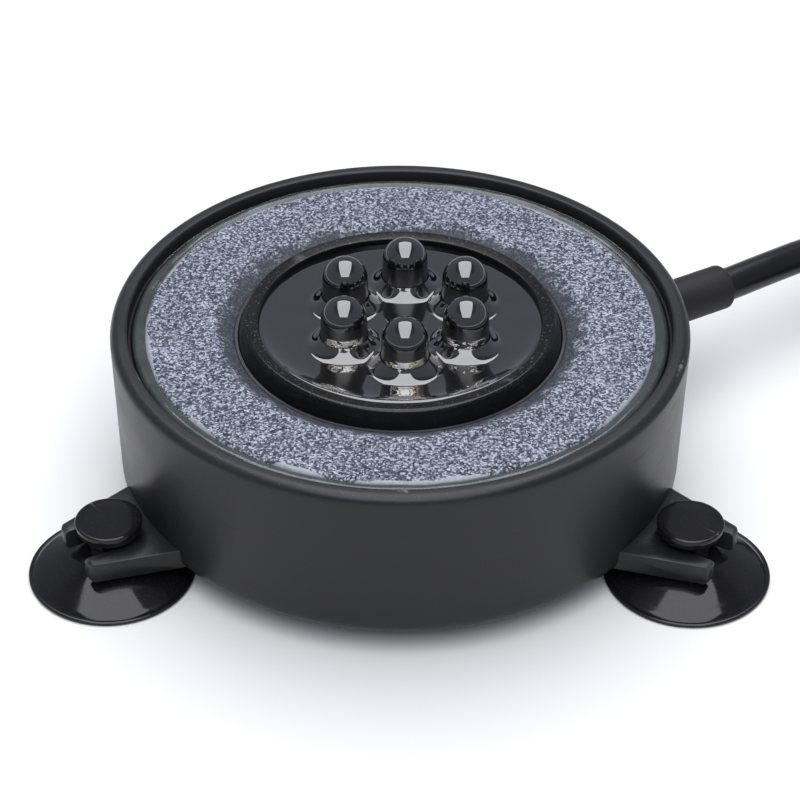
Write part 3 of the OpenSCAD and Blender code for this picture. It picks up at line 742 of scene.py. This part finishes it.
# dish
dish = {
    "radius": 50, "foot": 49.5, "height": 30, "inner": 47, "footInner": 46.5, "floor": 2.5, "steps": 192,
    "rimRound": 1.6, "rimInnerRound": 0.5, "footRound": 3.2, "straightFrom": 20.1, "wallRows": 22,
    "pad": 40, "groove": (1, 0.5), "collar": (24.65, 26.25, 5.5),
    "ribs": 12, "ribSize": (40.6, 47.5, 1.6, 20.6), "ribSunk": 0.5,
    "earAngles": (-150, -30, 90), "earRoot": (46.7, 10.6), "earTip": (63.3, 6.1),
    "earHeight": 3.8, "earLift": 1, "earCorner": 0.7, "earEdge": 0.16,
    "slot": (56.8, 3.9, 12),            # place, half width and reach
    "hoseHole": (4.25, 20),             # radius and length
    "gateMark": (0.8, -47.15, 0.55),    # place across and back, and size
}


def dishProfile(size):
    grooveWidth, grooveDepth = size["groove"]
    collarIn, collarOut, collarTop = size["collar"]
    pad, foot, rounding = size["pad"], size["foot"], size["footRound"]
    points = [(0, 0), (pad, 0), (pad, grooveDepth),
              (pad + grooveWidth, grooveDepth), (pad + grooveWidth, 0)]
    points += arcPoints((foot - rounding, rounding), rounding, -90, 0, 6)
    rim = size["rimRound"]
    # rows up the wall, so that the lighter edge (wear and painted highlight) at the hose's hole stays at
    # the hole's own edge
    top, rows = size["height"] - rim, size["wallRows"]
    for row in range(1, rows):
        share = row / rows
        points.append((foot + (size["radius"] - foot) * share, rounding + (top - rounding) * share))
    points += arcPoints((size["radius"] - rim, size["height"] - rim), rim, 0, 90, 12)
    inner = size["rimInnerRound"]
    points += arcPoints((size["inner"] + inner, size["height"] - inner), inner, 90, 180, 6)
    points += [(size["inner"], size["straightFrom"]), (size["footInner"], size["floor"]),
               (collarOut, size["floor"]), (collarOut, collarTop), (collarIn, collarTop),
               (collarIn, size["floor"]), (0, size["floor"])]
    return points


def selectVertices(piece, test):
    setMode("OBJECT")
    for vertex in piece.data.vertices:
        vertex.select = test(vertex.co)
    for part in (*piece.data.edges, *piece.data.polygons):
        part.select = all(piece.data.vertices[v].select for v in part.vertices)
    setMode("EDIT")


def makeEar(size):
    # a block that narrows outwards, open at its end for the cup's neck
    (rootR, rootHalf), (tipR, tipHalf), height = size["earRoot"], size["earTip"], size["earHeight"]
    middle = size["earLift"] + height / 2
    ear = addBlock(((rootR + tipR) / 2, 0, middle), (tipR - rootR, 2 * rootHalf, height))
    selectVertices(ear, lambda co: co.x > (tipR - 1) * mm)
    bpy.ops.transform.resize(value=(1, tipHalf / rootHalf, 1), center_override=(tipR * mm, 0, 0))
    bevelEdges(ear, lambda a, b: a.x > (tipR - 1) * mm and abs(a.z - b.z) > mm, size["earCorner"], 3)
    slotR, slotHalf, reach = size["slot"]
    ear = cutOrJoin(ear, addRod(slotHalf, reach, (slotR, 0, middle)), "DIFFERENCE")
    mouth = addBlock((slotR + reach / 2, 0, middle), (reach, 2 * slotHalf, reach))
    ear = cutOrJoin(ear, mouth, "DIFFERENCE")
    bevelSharp(ear, size["earEdge"], 2, 50)
    return ear


def makeDish(size):
    body = spinPiece("dishBody", dishProfile(size), size["steps"])
    ear = makeEar(size)
    ears = [place(copyOf(ear, "ear"), turned(angle)) for angle in size["earAngles"]]
    bpy.data.objects.remove(ear)
    body = cutOrJoin(body, joinPieces(ears), "UNION")
    innerR, outerR, thickness, top = size["ribSize"]
    base = size["floor"] - size["ribSunk"]
    ribs = []
    for index in range(size["ribs"]):
        rib = addBlock(((innerR + outerR) / 2, 0, (top + base) / 2),
                       (outerR - innerR, thickness, top - base))
        ribs.append(place(rib, turned((index + 0.5) * 360 / size["ribs"])))
    body = cutOrJoin(body, joinPieces(ribs), "UNION")
    holeR, holeLength = size["hoseHole"]
    hole = addRod(holeR, holeLength, (size["radius"], 0, hoseRoute["height"]), "X")
    body = cutOrJoin(body, place(hole, turned(hoseRoute["angle"])), "DIFFERENCE")
    # small gate mark in the rim, at the front
    across, back, width = size["gateMark"]
    body = cutOrJoin(body, addBlock((across, back, size["height"]), [width] * 3, 45), "DIFFERENCE")
    smoothShade(body, 30)
    return hand(body, finish["casing"], "casing_plastic", "base", "casing")


makeDish(dish)
print("dish made")

# stone ring
stone = {
    "inner": 28.7, "outer": 44.1, "bottom": 20.65, "top": 28.6, "chamfer": 0.5, "slope": (3.4, 1.8),
    "ringStep": 0.36, "steps": 620, "grain": 0.5, "grainDepth": 0.06, "lumps": 1.4, "lumpDepth": 0.05,
}


def denseLine(start, end, step):
    count = max(1, round(math.dist(start, end) / step))
    return [tuple(a + (b - a) * index / count for a, b in zip(start, end)) for index in range(count)]


def makeStone(size):
    slopeWidth, slopeDepth = size["slope"]
    step = size["ringStep"]
    top, outer, inner = size["top"], size["outer"], size["inner"]
    points = [(inner, size["bottom"]), (outer, size["bottom"])]
    points += denseLine((outer, top - size["chamfer"]), (outer - size["chamfer"], top), step)
    points += denseLine((outer - size["chamfer"], top), (inner + slopeWidth, top), step)
    points += denseLine((inner + slopeWidth, top), (inner, top - slopeDepth), step)
    points += [(inner, top - slopeDepth), (inner, size["bottom"])]
    ring = spinPiece("stoneRing", points, size["steps"])
    surface = ring.vertex_groups.new(name="surface")
    surface.add([v.index for v in ring.data.vertices if v.co.z > (size["bottom"] + 1) * mm], 1, "REPLACE")
    for kind, scale, depth in (("VORONOI", size["grain"], size["grainDepth"]),
                               ("CLOUDS", size["lumps"], size["lumpDepth"])):
        pattern = bpy.data.textures.new("stone" + kind.title(), kind)
        pattern.noise_scale = scale * mm
        modifier = ring.modifiers.new("grains", "DISPLACE")
        modifier.texture = pattern
        modifier.texture_coords = "LOCAL"
        modifier.strength = depth * mm
        modifier.mid_level = 0.6
        modifier.vertex_group = "surface"
    applyAll(ring)
    smoothShade(ring, 80)
    return hand(ring, finish["stone"], "porous_stone", "base", "air_stone")


makeStone(stone)
print("stone made")

# seals
seal = {"inner": 43.95, "outer": 46.95, "bottom": 20.65, "surface": 27, "steps": 360,
        "ripple": 0.14, "wander": 0.3,
        "section": [(46.95, 27.75), (46.7, 27.55), (46.45, 27.6), (46.3, 27.85), (46.1, 28.25),
                    (45.8, 28.5), (45.4, 28.62),
                    (44.9, 28.56), (44.5, 28.42), (44.2, 28.18), (43.95, 28.2)]}


def makeOuterSeal(size):
    # a bead of clear resin with an uneven hand-poured surface, and a narrow trench at the wall
    points = [(size["inner"], size["bottom"]), (size["outer"], size["bottom"])] + size["section"]
    points.append(points[0])
    ring = spinPiece("outerSealRing", points, size["steps"])
    for vertex in ring.data.vertices:
        if vertex.co.z < size["surface"] * mm:
            continue
        radius = math.hypot(vertex.co.x, vertex.co.y) / mm
        share = (radius - size["inner"]) / (size["outer"] - size["inner"])
        spot = vertex.co / (5 * mm)
        vertex.co.z += size["ripple"] * mm * noise.noise(spot) * (1 - 0.5 * share)
        inward = size["wander"] * (0.5 + noise.noise(spot * 0.7 + Vector((9, 4, 2)))) * (1 - share)
        shrink = (radius - inward) / radius
        vertex.co.x *= shrink
        vertex.co.y *= shrink
    smoothShade(ring, 50)
    return hand(ring, finish["seal"], "clear_seal", "base", "outer_seal")


makeOuterSeal(seal)

# pod: lamp cup, resin and lamps
pod = {
    "bottom": 2.55, "body": 24.6, "ledge": 22.6, "boardSeat": 24.75, "floorTop": 4.55,
    "flange": (31.1, 18.2, 20.55), "coneFrom": 15.2, "skirt": 28.1, "skirtTop": 26.8,
    "rim": 27, "top": 30, "rimRound": 0.7, "mouth": 24.6, "mouthRound": 0.3, "rimFall": 0.3,
    "wireHole": (2.45, 6), "steps": 160,
}


def makeLampCup(size):
    flangeR, flangeLow, flangeHigh = size["flange"]
    rounding = size["rimRound"]
    points = [(0, size["bottom"]), (size["body"], size["bottom"]), (size["body"], size["coneFrom"]),
              (flangeR, flangeLow), (flangeR, flangeHigh), (size["skirt"], flangeHigh),
              (size["skirt"], size["skirtTop"])]
    points += arcPoints((size["rim"] - rounding, size["top"] - rounding), rounding, 12, 90, 8)
    mouth, small, seat = size["mouth"], size["mouthRound"], size["boardSeat"]
    points += arcPoints((mouth + small, size["top"] - size["rimFall"] - small), small, 80, 180, 5)
    points += [(mouth, seat), (size["ledge"], seat),
               (size["ledge"], size["floorTop"]), (0, size["floorTop"])]
    cup = spinPiece("lampCup", points, size["steps"])
    holeR, holeLength = size["wireHole"]
    hole = addRod(holeR, holeLength, (size["ledge"], 0, hoseRoute["height"]), "X", 48)
    cutOrJoin(cup, place(hole, turned(hoseRoute["angle"])), "DIFFERENCE")
    smoothShade(cup, 35)
    return hand(cup, finish["lampCup"], "lamp_cup_plastic", "base", "lamp_cup")


lamps = {
    "count": 6, "ring": 12, "shift": 0.8, "first": 30,
    "lens": {"foot": 26.75, "flange": 4.7, "flangeHeight": 1.2, "footEdge": 0.15, "flangeRound": 0.2,
             "base": 4.2, "dome": 3.95, "domeCentre": 33.8, "waist": [(4.18, 30.15), (4.01, 30.45)],
             "pocket": 2.6, "pocketTop": 30.55, "pocketEdge": 0.4},
    "frame": {"profile": [(0, 28.35), (1.3, 28.35), (2.45, 30.3), (2.2, 30.35), (1.1, 28.65), (0, 28.65)],
              "crumple": 0.18, "crumpleSize": 0.8, "leg": (0.5, 0.5, 7), "legPlace": (1.27, 26.65),
              "legEdge": 0.06},
}
resin = {"bottom": 26.45, "level": 28.5, "edge": 24.55, "edgeRise": 2.1, "edgeReach": 1.6,
         "lip": 0.7, "lipFall": 0.9, "lampRise": 2.0, "lampReach": 2.45, "lampPower": 1.9, "riseLimit": 2.3,
         "ripple": 0.03, "flangePlay": 0.05, "basePlay": 0.03,
         "ringSteps": 240, "ringStep": 0.27, "fineFrom": 22.4, "fineStep": 0.11}


def lampCentres(size):
    centres = []
    for index in range(size["count"]):
        angle = math.radians(size["first"] + index * 360 / size["count"])
        across = size["shift"] + size["ring"] * math.cos(angle)
        centres.append(Vector((across, size["ring"] * math.sin(angle), 0)))
    return centres


def edgeRise(size, spot):
    # the resin was poured a little towards the front, where it stands over the cup's mouth as a lip
    front = (0.5 - 0.5 * spot.y / max(spot.length, 1)) ** 2
    fromEdge = size["edge"] - spot.length
    rise = size["edgeRise"] * math.exp(-fromEdge / size["edgeReach"])
    over = max(size["lip"] - fromEdge, 0) / size["lip"]
    return front * (rise - size["lipFall"] * over * over)


def makeResin(size, lampSize):
    # the surface climbs at the mouth of the pod and round every lamp
    level, fine = size["level"], size["fineFrom"]
    points = denseLine((0, level), (fine, level), size["ringStep"])
    points += denseLine((fine, level), (size["edge"], level), size["fineStep"])
    points += [(size["edge"], level), (size["edge"], size["bottom"]), (0, size["bottom"])]
    pool = spinPiece("pottingResin", points, size["ringSteps"])
    centres = lampCentres(lampSize)
    base = lampSize["lens"]["base"]
    for vertex in pool.data.vertices:
        if vertex.co.z < (level - 0.5) * mm:
            continue
        spot = Vector((vertex.co.x / mm, vertex.co.y / mm, 0))
        rise = edgeRise(size, spot)
        for centre in centres:
            gap = max((spot - centre).length - base, 0)
            rise += size["lampRise"] * max(1 - gap / size["lampReach"], 0) ** size["lampPower"]
        rise += size["ripple"] * noise.noise(spot * 0.25)
        vertex.co.z += min(rise, size["riseLimit"]) * mm
    # each lamp stands in its own well
    lens, play = lampSize["lens"], size["flangePlay"]
    low, shoulder, top = size["bottom"] - 1, lens["foot"] + lens["flangeHeight"] + play, level + 4
    wide, narrow = lens["flange"] + play, base + size["basePlay"]
    outline = [(0, low), (wide, low), (wide, shoulder), (narrow, shoulder), (narrow, top), (0, top)]
    wells = [place(spinPiece("well", outline, 72), Matrix.Translation(centre * mm)) for centre in centres]
    cutOrJoin(pool, joinPieces(wells), "DIFFERENCE")
    smoothShade(pool, 60)
    return hand(pool, finish["resin"], "potting_resin", "base", "potting_resin")


def makeLens(size):
    foot, base, flange, pocket = size["foot"], size["base"], size["flange"], size["pocket"]
    top, roof, inside = foot + size["flangeHeight"], size["pocketTop"], size["pocketEdge"]
    edge, rounding = size["footEdge"], size["flangeRound"]
    # from the hollow's roof down and round the outside to the dome's top
    points = [(0, roof), (pocket - inside, roof), (pocket, roof - inside), (pocket, foot),
              (flange - edge, foot), (flange, foot + edge),
              (flange, top - rounding), (flange - rounding, top), (base, top)]
    points += size["waist"] + arcPoints((0, size["domeCentre"]), size["dome"], 0, 90, 22)
    lens = spinPiece("lens", points, 72)
    smoothShade(lens, 40)
    return lens


def makeReflector(size):
    # stamped cup of the lead frame, a little crumpled, on its two legs
    cup = spinPiece("reflector", size["profile"], 28)
    for vertex in cup.data.vertices:
        if math.hypot(vertex.co.x, vertex.co.y) > mm:
            vertex.co.z += size["crumple"] * mm * noise.noise(vertex.co / (size["crumpleSize"] * mm))
    apart, height = size["legPlace"]
    legs = [addBlock((0, side * apart, height), size["leg"]) for side in (-1, 1)]
    for leg in legs:
        bevelSharp(leg, size["legEdge"])
    return cutOrJoin(cup, joinPieces(legs), "UNION")


def makeLamps(size):
    lens = makeLens(size["lens"])
    reflector = makeReflector(size["frame"])
    for index, centre in enumerate(lampCentres(size)):
        spot = Matrix.Translation(centre * mm) @ turned(size["first"] + index * 360 / size["count"])
        number = index + 1
        lamp = place(copyOf(lens, f"lampLens{number}"), spot)
        hand(lamp, finish["lens"], "lens", "base", f"led_lens_{number}")
        metal = place(copyOf(reflector, f"lampReflector{number}"), spot)
        hand(metal, finish["reflector"], "lead_frame", "base", f"led_frame_{number}")
    bpy.data.objects.remove(lens)
    bpy.data.objects.remove(reflector)


makeLampCup(pod)
makeResin(resin, lamps)
makeLamps(lamps)
print("pod made")

# suction cups
suction = {
    "place": 56.8, "floor": -3.6, "neck": 3.6, "bodies": ("left", "right", "rear"),
    "head": 5.7, "headTop": 8.0, "headRound": 0.35, "headDish": (4.6, 7.94),
    "headEdge": [(5.65, 6.5), (5.4, 6.0)], "headFoot": (4.3, 5.1),
    "shoulder": [(5.0, 0.7), (6.0, 0.2)], "skirtEnd": (13.4, -2.73), "skirtRise": 0.16, "skirtRows": 10,
    "lipStep": (13.55, -2.9), "lipCentre": (13.925, -3.225), "lipRound": 0.375,
    "underside": [(13.1, -3.6), (12.7, -3.35), (8.58, -2.48), (3.575, -2.0), (0, -2.0)],
}


def makeSuctionCup(size):
    rounding, neck = size["headRound"], size["neck"]
    points = [(0, size["headDish"][1]), size["headDish"]]
    points += arcPoints((size["head"] - rounding, size["headTop"] - rounding), rounding, 90, 0, 5)
    points += [*size["headEdge"], size["headFoot"], (neck, size["headFoot"][1])]
    points += [(neck, size["shoulder"][0][1]), *size["shoulder"]]
    # the skirt is slightly domed and ends in a thin lip
    (startR, startZ), (endR, endZ) = size["shoulder"][-1], size["skirtEnd"]
    for index in range(1, size["skirtRows"] + 1):
        share = index / size["skirtRows"]
        rise = size["skirtRise"] * math.sin(math.pi * share)
        points.append((startR + (endR - startR) * share, startZ + (endZ - startZ) * share + rise))
    points += [size["lipStep"]] + arcPoints(size["lipCentre"], size["lipRound"], 90, -90, 6)
    cup = spinPiece("suctionCup", points + size["underside"], 128)
    smoothShade(cup, 32)
    return cup


def placeCups(size, angles):
    model = makeSuctionCup(size)
    for label, angle in zip(size["bodies"], angles):
        spot = turned(angle) @ moved((size["place"], 0, 0))
        cup = place(copyOf(model, f"suctionCup{label.title()}"), spot)
        hand(cup, finish["cup"], "cup_rubber", f"cup_{label}", f"suction_cup_{label}")
    bpy.data.objects.remove(model)


placeCups(suction, dish["earAngles"])
print("suction cups made")

# sleeve
sleeve = {"start": 44.8, "flange": (5.6, 1.5), "radius": 4.2, "end": 70, "round": 1.1, "bore": 3.15,
          "swell": [(0, 50.5), (0.04, 56), (0, 62)]}


def makeSleeve(size):
    flangeR, flangeT = size["flange"]
    start, radius, end, rounding = size["start"], size["radius"], size["end"], size["round"]
    points = [(size["bore"], start), (flangeR, start),
              (flangeR, start + flangeT), (radius, start + flangeT)]
    points += [(radius + out, along) for out, along in size["swell"]]
    points += arcPoints((radius - rounding, end - rounding), rounding, 0, 80, 8)
    points += [(size["bore"], end), (size["bore"], start)]
    tube = spinPiece("hoseSleeve", points, 72)
    place(tube, moved((0, 0, hoseRoute["height"])) @ turned(hoseRoute["angle"]) @ turned(90, "Y"))
    smoothShade(tube, 40)
    return hand(tube, finish["sleeve"], "sleeve_rubber", "base", "hose_sleeve")


makeSleeve(sleeve)
print("sleeve made")

# fittings on the hose
tie = {"angles": (60, 210), "width": 4, "thick": 0.8, "inner": (24.95, 46.05), "low": -2.75, "high": 9.95,
       "corner": 1.8, "head": (3.2, 5.2, 5.4), "headSunk": 0.6, "headHeight": 5.5, "headEdge": 0.5}


def makeTie(size, angle):
    # a strap round the coil's section, with its lock on the outside
    (innerR, outerR), thick, low, high = size["inner"], size["thick"], size["low"], size["high"]
    strap = addBlock(((innerR + outerR) / 2, 0, (low + high) / 2),
                     (outerR - innerR + 2 * thick, size["width"], high - low + 2 * thick))
    setMode("EDIT")
    bpy.ops.mesh.select_mode(type="FACE")
    setMode("OBJECT")
    for face in strap.data.polygons:
        face.select = abs(face.normal.y) > 0.9
    setMode("EDIT")
    bpy.ops.mesh.delete(type="FACE")
    bevelEdges(strap, lambda a, b: abs(a.y - b.y) > mm, size["corner"], 6)
    bpy.ops.mesh.select_all(action="SELECT")
    bpy.ops.mesh.normals_make_consistent(inside=False)
    setMode("OBJECT")
    wall = strap.modifiers.new("wall", "SOLIDIFY")
    wall.thickness = thick * mm
    wall.offset = -1
    applyAll(strap)
    head = addBlock((outerR + thick - size["headSunk"], 0, size["headHeight"]), size["head"])
    bevelSharp(head, size["headEdge"], 3)
    strap = cutOrJoin(strap, head, "UNION")
    return place(strap, moved((*hoseRoute["coilCentre"], 0)) @ turned(angle))


ties = joinPieces([makeTie(tie, angle) for angle in tie["angles"]])
ties.name = "coilTies"
smoothShade(ties, 40)
hand(ties, finish["tie"], "tie", "base", "coil_ties")

tee = {"radius": 4.6, "bevel": 0.6, "nose": (1.6, 2), "inlet": 2.2, "inletHole": 1.2, "branch": 3.6,
       "branchSunk": 2, "waist": [(0, 9.5), (0.35, 9.9), (0.35, 12.2), (0, 12.6)],
       "rings": (3, 2, 2.2), "ringCut": [(0.12, 0), (0, 0.1), (0.12, 1.6)],
       "mouthBore": 3.15, "leadBore": (1.8, 8, 5)}


def makeTee(size, spotFor):
    length, socket, radius, inlet = spotFor["length"], spotFor["socket"], size["radius"], size["inlet"]
    end, bevel = length + spotFor["inlet"], size["bevel"]
    points = [(size["mouthBore"], socket), (size["mouthBore"], 0), (radius - bevel, 0), (radius, bevel)]
    points += [(radius - cut, along) for cut, along in size["waist"]]
    noseWidth, noseLength = size["nose"]
    points += [(radius, length - noseLength), (radius - noseWidth, length), (inlet - 0.1, length)]
    # rings on the spigot hold the airline
    count, first, every = size["rings"]
    for index in range(count):
        points += [(inlet - cut, length + first + index * every + along) for cut, along in size["ringCut"]]
    points += [(inlet - 0.1, end - 0.5), (inlet - 0.5, end), (size["inletHole"], end),
               (size["inletHole"], socket), (size["mouthBore"], socket)]
    body = place(spinPiece("teeBody", points, 64), turned(90, "Y"))
    across, reach, sunk = spotFor["branch"], spotFor["branchLength"], size["branchSunk"]
    branch = addRod(size["branch"], reach - sunk, (across, (reach + sunk) / 2, 0), "Y")
    body = cutOrJoin(body, branch, "UNION")
    boreR, boreLength, boreMiddle = size["leadBore"]
    body = cutOrJoin(body, addRod(boreR, boreLength, (across, boreMiddle, 0), "Y", 48), "DIFFERENCE")
    place(body, moved(spotFor["at"]) @ turned(spotFor["angle"]))
    smoothShade(body, 30)
    return hand(body, finish["fitting"], "fitting_plastic", "base", "tee_body")


gland = {"start": 6.05, "length": 8, "wide": 3.3, "narrow": 2.35, "bore": 1.8, "grooves": 4, "groove": 0.35}


def makeGland(size, spotFor):
    # tapered strain relief with grooves
    count = size["grooves"] * 4
    points = [(size["bore"], 0), (size["wide"], 0)]
    for index in range(1, count):
        share = index / count
        radius = size["wide"] + (size["narrow"] - size["wide"]) * share
        if index % 4 in (2, 3):
            radius -= size["groove"] * (1 - 0.5 * share)
        points.append((radius, size["length"] * share))
    points += [(size["narrow"], size["length"]), (size["bore"], size["length"]), (size["bore"], 0)]
    piece = spinPiece("leadGland", points, 48)
    stand = moved((spotFor["branch"], size["start"], 0)) @ turned(-90, "X")
    place(piece, moved(spotFor["at"]) @ turned(spotFor["angle"]) @ stand)
    smoothShade(piece, 25)
    return hand(piece, finish["lead"], "fitting_plastic", "base", "lead_gland")


plug = {"at": (195, 4, 1.4), "grip": 5, "length": 26, "start": 0.1,
        "relief": (2.55, 2.95), "reliefLength": 8,
        "reliefRings": (3, 1.6, 2.1, 0.13), "reliefCut": [(0, 0), (-0.45, 0.2), (-0.45, 0.9), (0.05, 1.1)],
        "shoulder": 3, "shoulderRound": 1.2, "bevel": 1, "pocket": 2.55, "pocketFrom": 22,
        "ribs": (7, 1.5), "ribCut": [(0, 0), (-0.25, 0.15), (-0.25, 0.6), (0, 0.75)]}


def makeGrip(size):
    (thin, thick), grip, length = size["relief"], size["grip"], size["length"]
    rounding = size["shoulderRound"]
    points = [(0, size["start"]), (thin, size["start"])]
    count, first, every, widening = size["reliefRings"]
    for index in range(count):
        points += [(thin + widening * index + out, first + every * index + along)
                   for out, along in size["reliefCut"]]
    points.append((thick, size["reliefLength"]))
    shoulderTop = size["reliefLength"] + size["shoulder"]
    points += arcPoints((grip - rounding, shoulderTop), rounding, -60, 0, 5)
    count, every = size["ribs"]
    for index in range(count):
        points += [(grip + out, shoulderTop + every * (index + 1) + along) for out, along in size["ribCut"]]
    points += arcPoints((grip - size["bevel"], length - size["bevel"]), size["bevel"], 0, 90, 6)
    points += [(size["pocket"], length), (size["pocket"], size["pocketFrom"]), (0, size["pocketFrom"])]
    piece = place(spinPiece("plugGrip", points, 72), moved(size["at"]) @ turned(-90, "X"))
    smoothShade(piece, 30)
    return hand(piece, finish["plug"], "plug_plastic", "base", "plug_grip")


teeBody = makeTee(tee, teePlace)
leadGland = makeGland(gland, teePlace)
plugGrip = makeGrip(plug)
hand(hose, finish["hose"], "hose", "base", "supply_hose", "hose_coil", "hose_tail")
hand(powerLead, finish["lead"], "lead", "base", "power_lead")
leadExit = metres(teePoint(teePlace["branch"], teePlace["branchLength"] + teePlace["gland"]))
print("fittings made")

# CAD nodes that stay
stays = {
    "inner_seal": "darkSeal", "led_board": "board", "resistors": "resistor", "solder_joints": "solder",
    "wire_red": "wireRed", "wire_black": "wireBlack", "wire_seal": "darkSeal", "hose_seal": "darkSeal",
    "plug_barrel": "plugMetal", "plug_insulator": "plug", "plug_contact": "contact",
}
for node, name in stays.items():
    cadNodes[node].data.materials.clear()
    cadNodes[node].data.materials.append(finish[name])


# floor and lights
studio = {
    "floor": 4000, "floorColour": (0.93, 0.93, 0.94), "floorRoughness": 0.9,
    "sky": 0.40, "skyTop": 0.20, "skyColour": (0.84, 0.86, 1.0),
    "skyTurn": (0.66, 0.80),        # heights where the screens turn to the ceiling
    "softbox": {"height": 1000, "size": (980, 2080), "shift": -110, "power": 16.5,
                "gloss": 9.0, "glossColour": (0.88, 0.89, 1.0), "glossDrop": 10},
}


def makeFloor(size, level):
    deselectAll()
    bpy.ops.mesh.primitive_plane_add(size=size["floor"] * mm, location=(0, 0, level * mm))
    floor = settle(bpy.context.object)
    floor.name = "studioFloor"
    material, tree, shader = startMaterial("floorPaper", {"specular": 0.2})
    cloud = remap(tree, grainNoise(tree, 6, 2, 0.5), 0.3, 0.7)
    shades = size["floorColour"], tuple(0.99 * part for part in size["floorColour"])
    tree.links.new(mixColours(tree, cloud, *shades), shader.inputs["Base Color"])
    shader.inputs["Roughness"].default_value = size["floorRoughness"]
    floor.data.materials.append(material)


def makeSoftbox(name, box, power):
    data = bpy.data.lights.new(name, "AREA")
    data.shape = "RECTANGLE"
    data.size, data.size_y = (side * mm for side in box["size"])
    data.energy = power
    light = show(bpy.data.objects.new(name, data))
    light.location = metres((0, box["shift"], box["height"]))
    return light


def lightStudio(size):
    world = bpy.data.worlds.new("studio")
    bpy.context.scene.world = world
    world.use_nodes = True
    tree = world.node_tree
    sky = tree.nodes["Background"]
    sky.inputs["Color"].default_value = (*size["skyColour"], 1)
    # bright screens all round, with a darker ceiling above them
    height = splitOf(tree, coordsOf(tree, "Generated"))["Z"]
    strength = remap(tree, height, *size["skyTurn"], size["sky"], size["skyTop"])
    tree.links.new(strength, sky.inputs["Strength"])
    box = size["softbox"]
    makeSoftbox("softboxFill", box, box["power"])
    shine = makeSoftbox("softboxShine", box, box["gloss"])
    shine.data.color = box["glossColour"]
    # just under the other, so a mirroring surface sees this one
    shine.location.z -= box["glossDrop"] * mm
    shine.visible_diffuse = False
    bpy.context.scene.view_settings.view_transform = "Standard"


makeFloor(studio, suction["floor"])
lightStudio(studio)
print("studio lit")
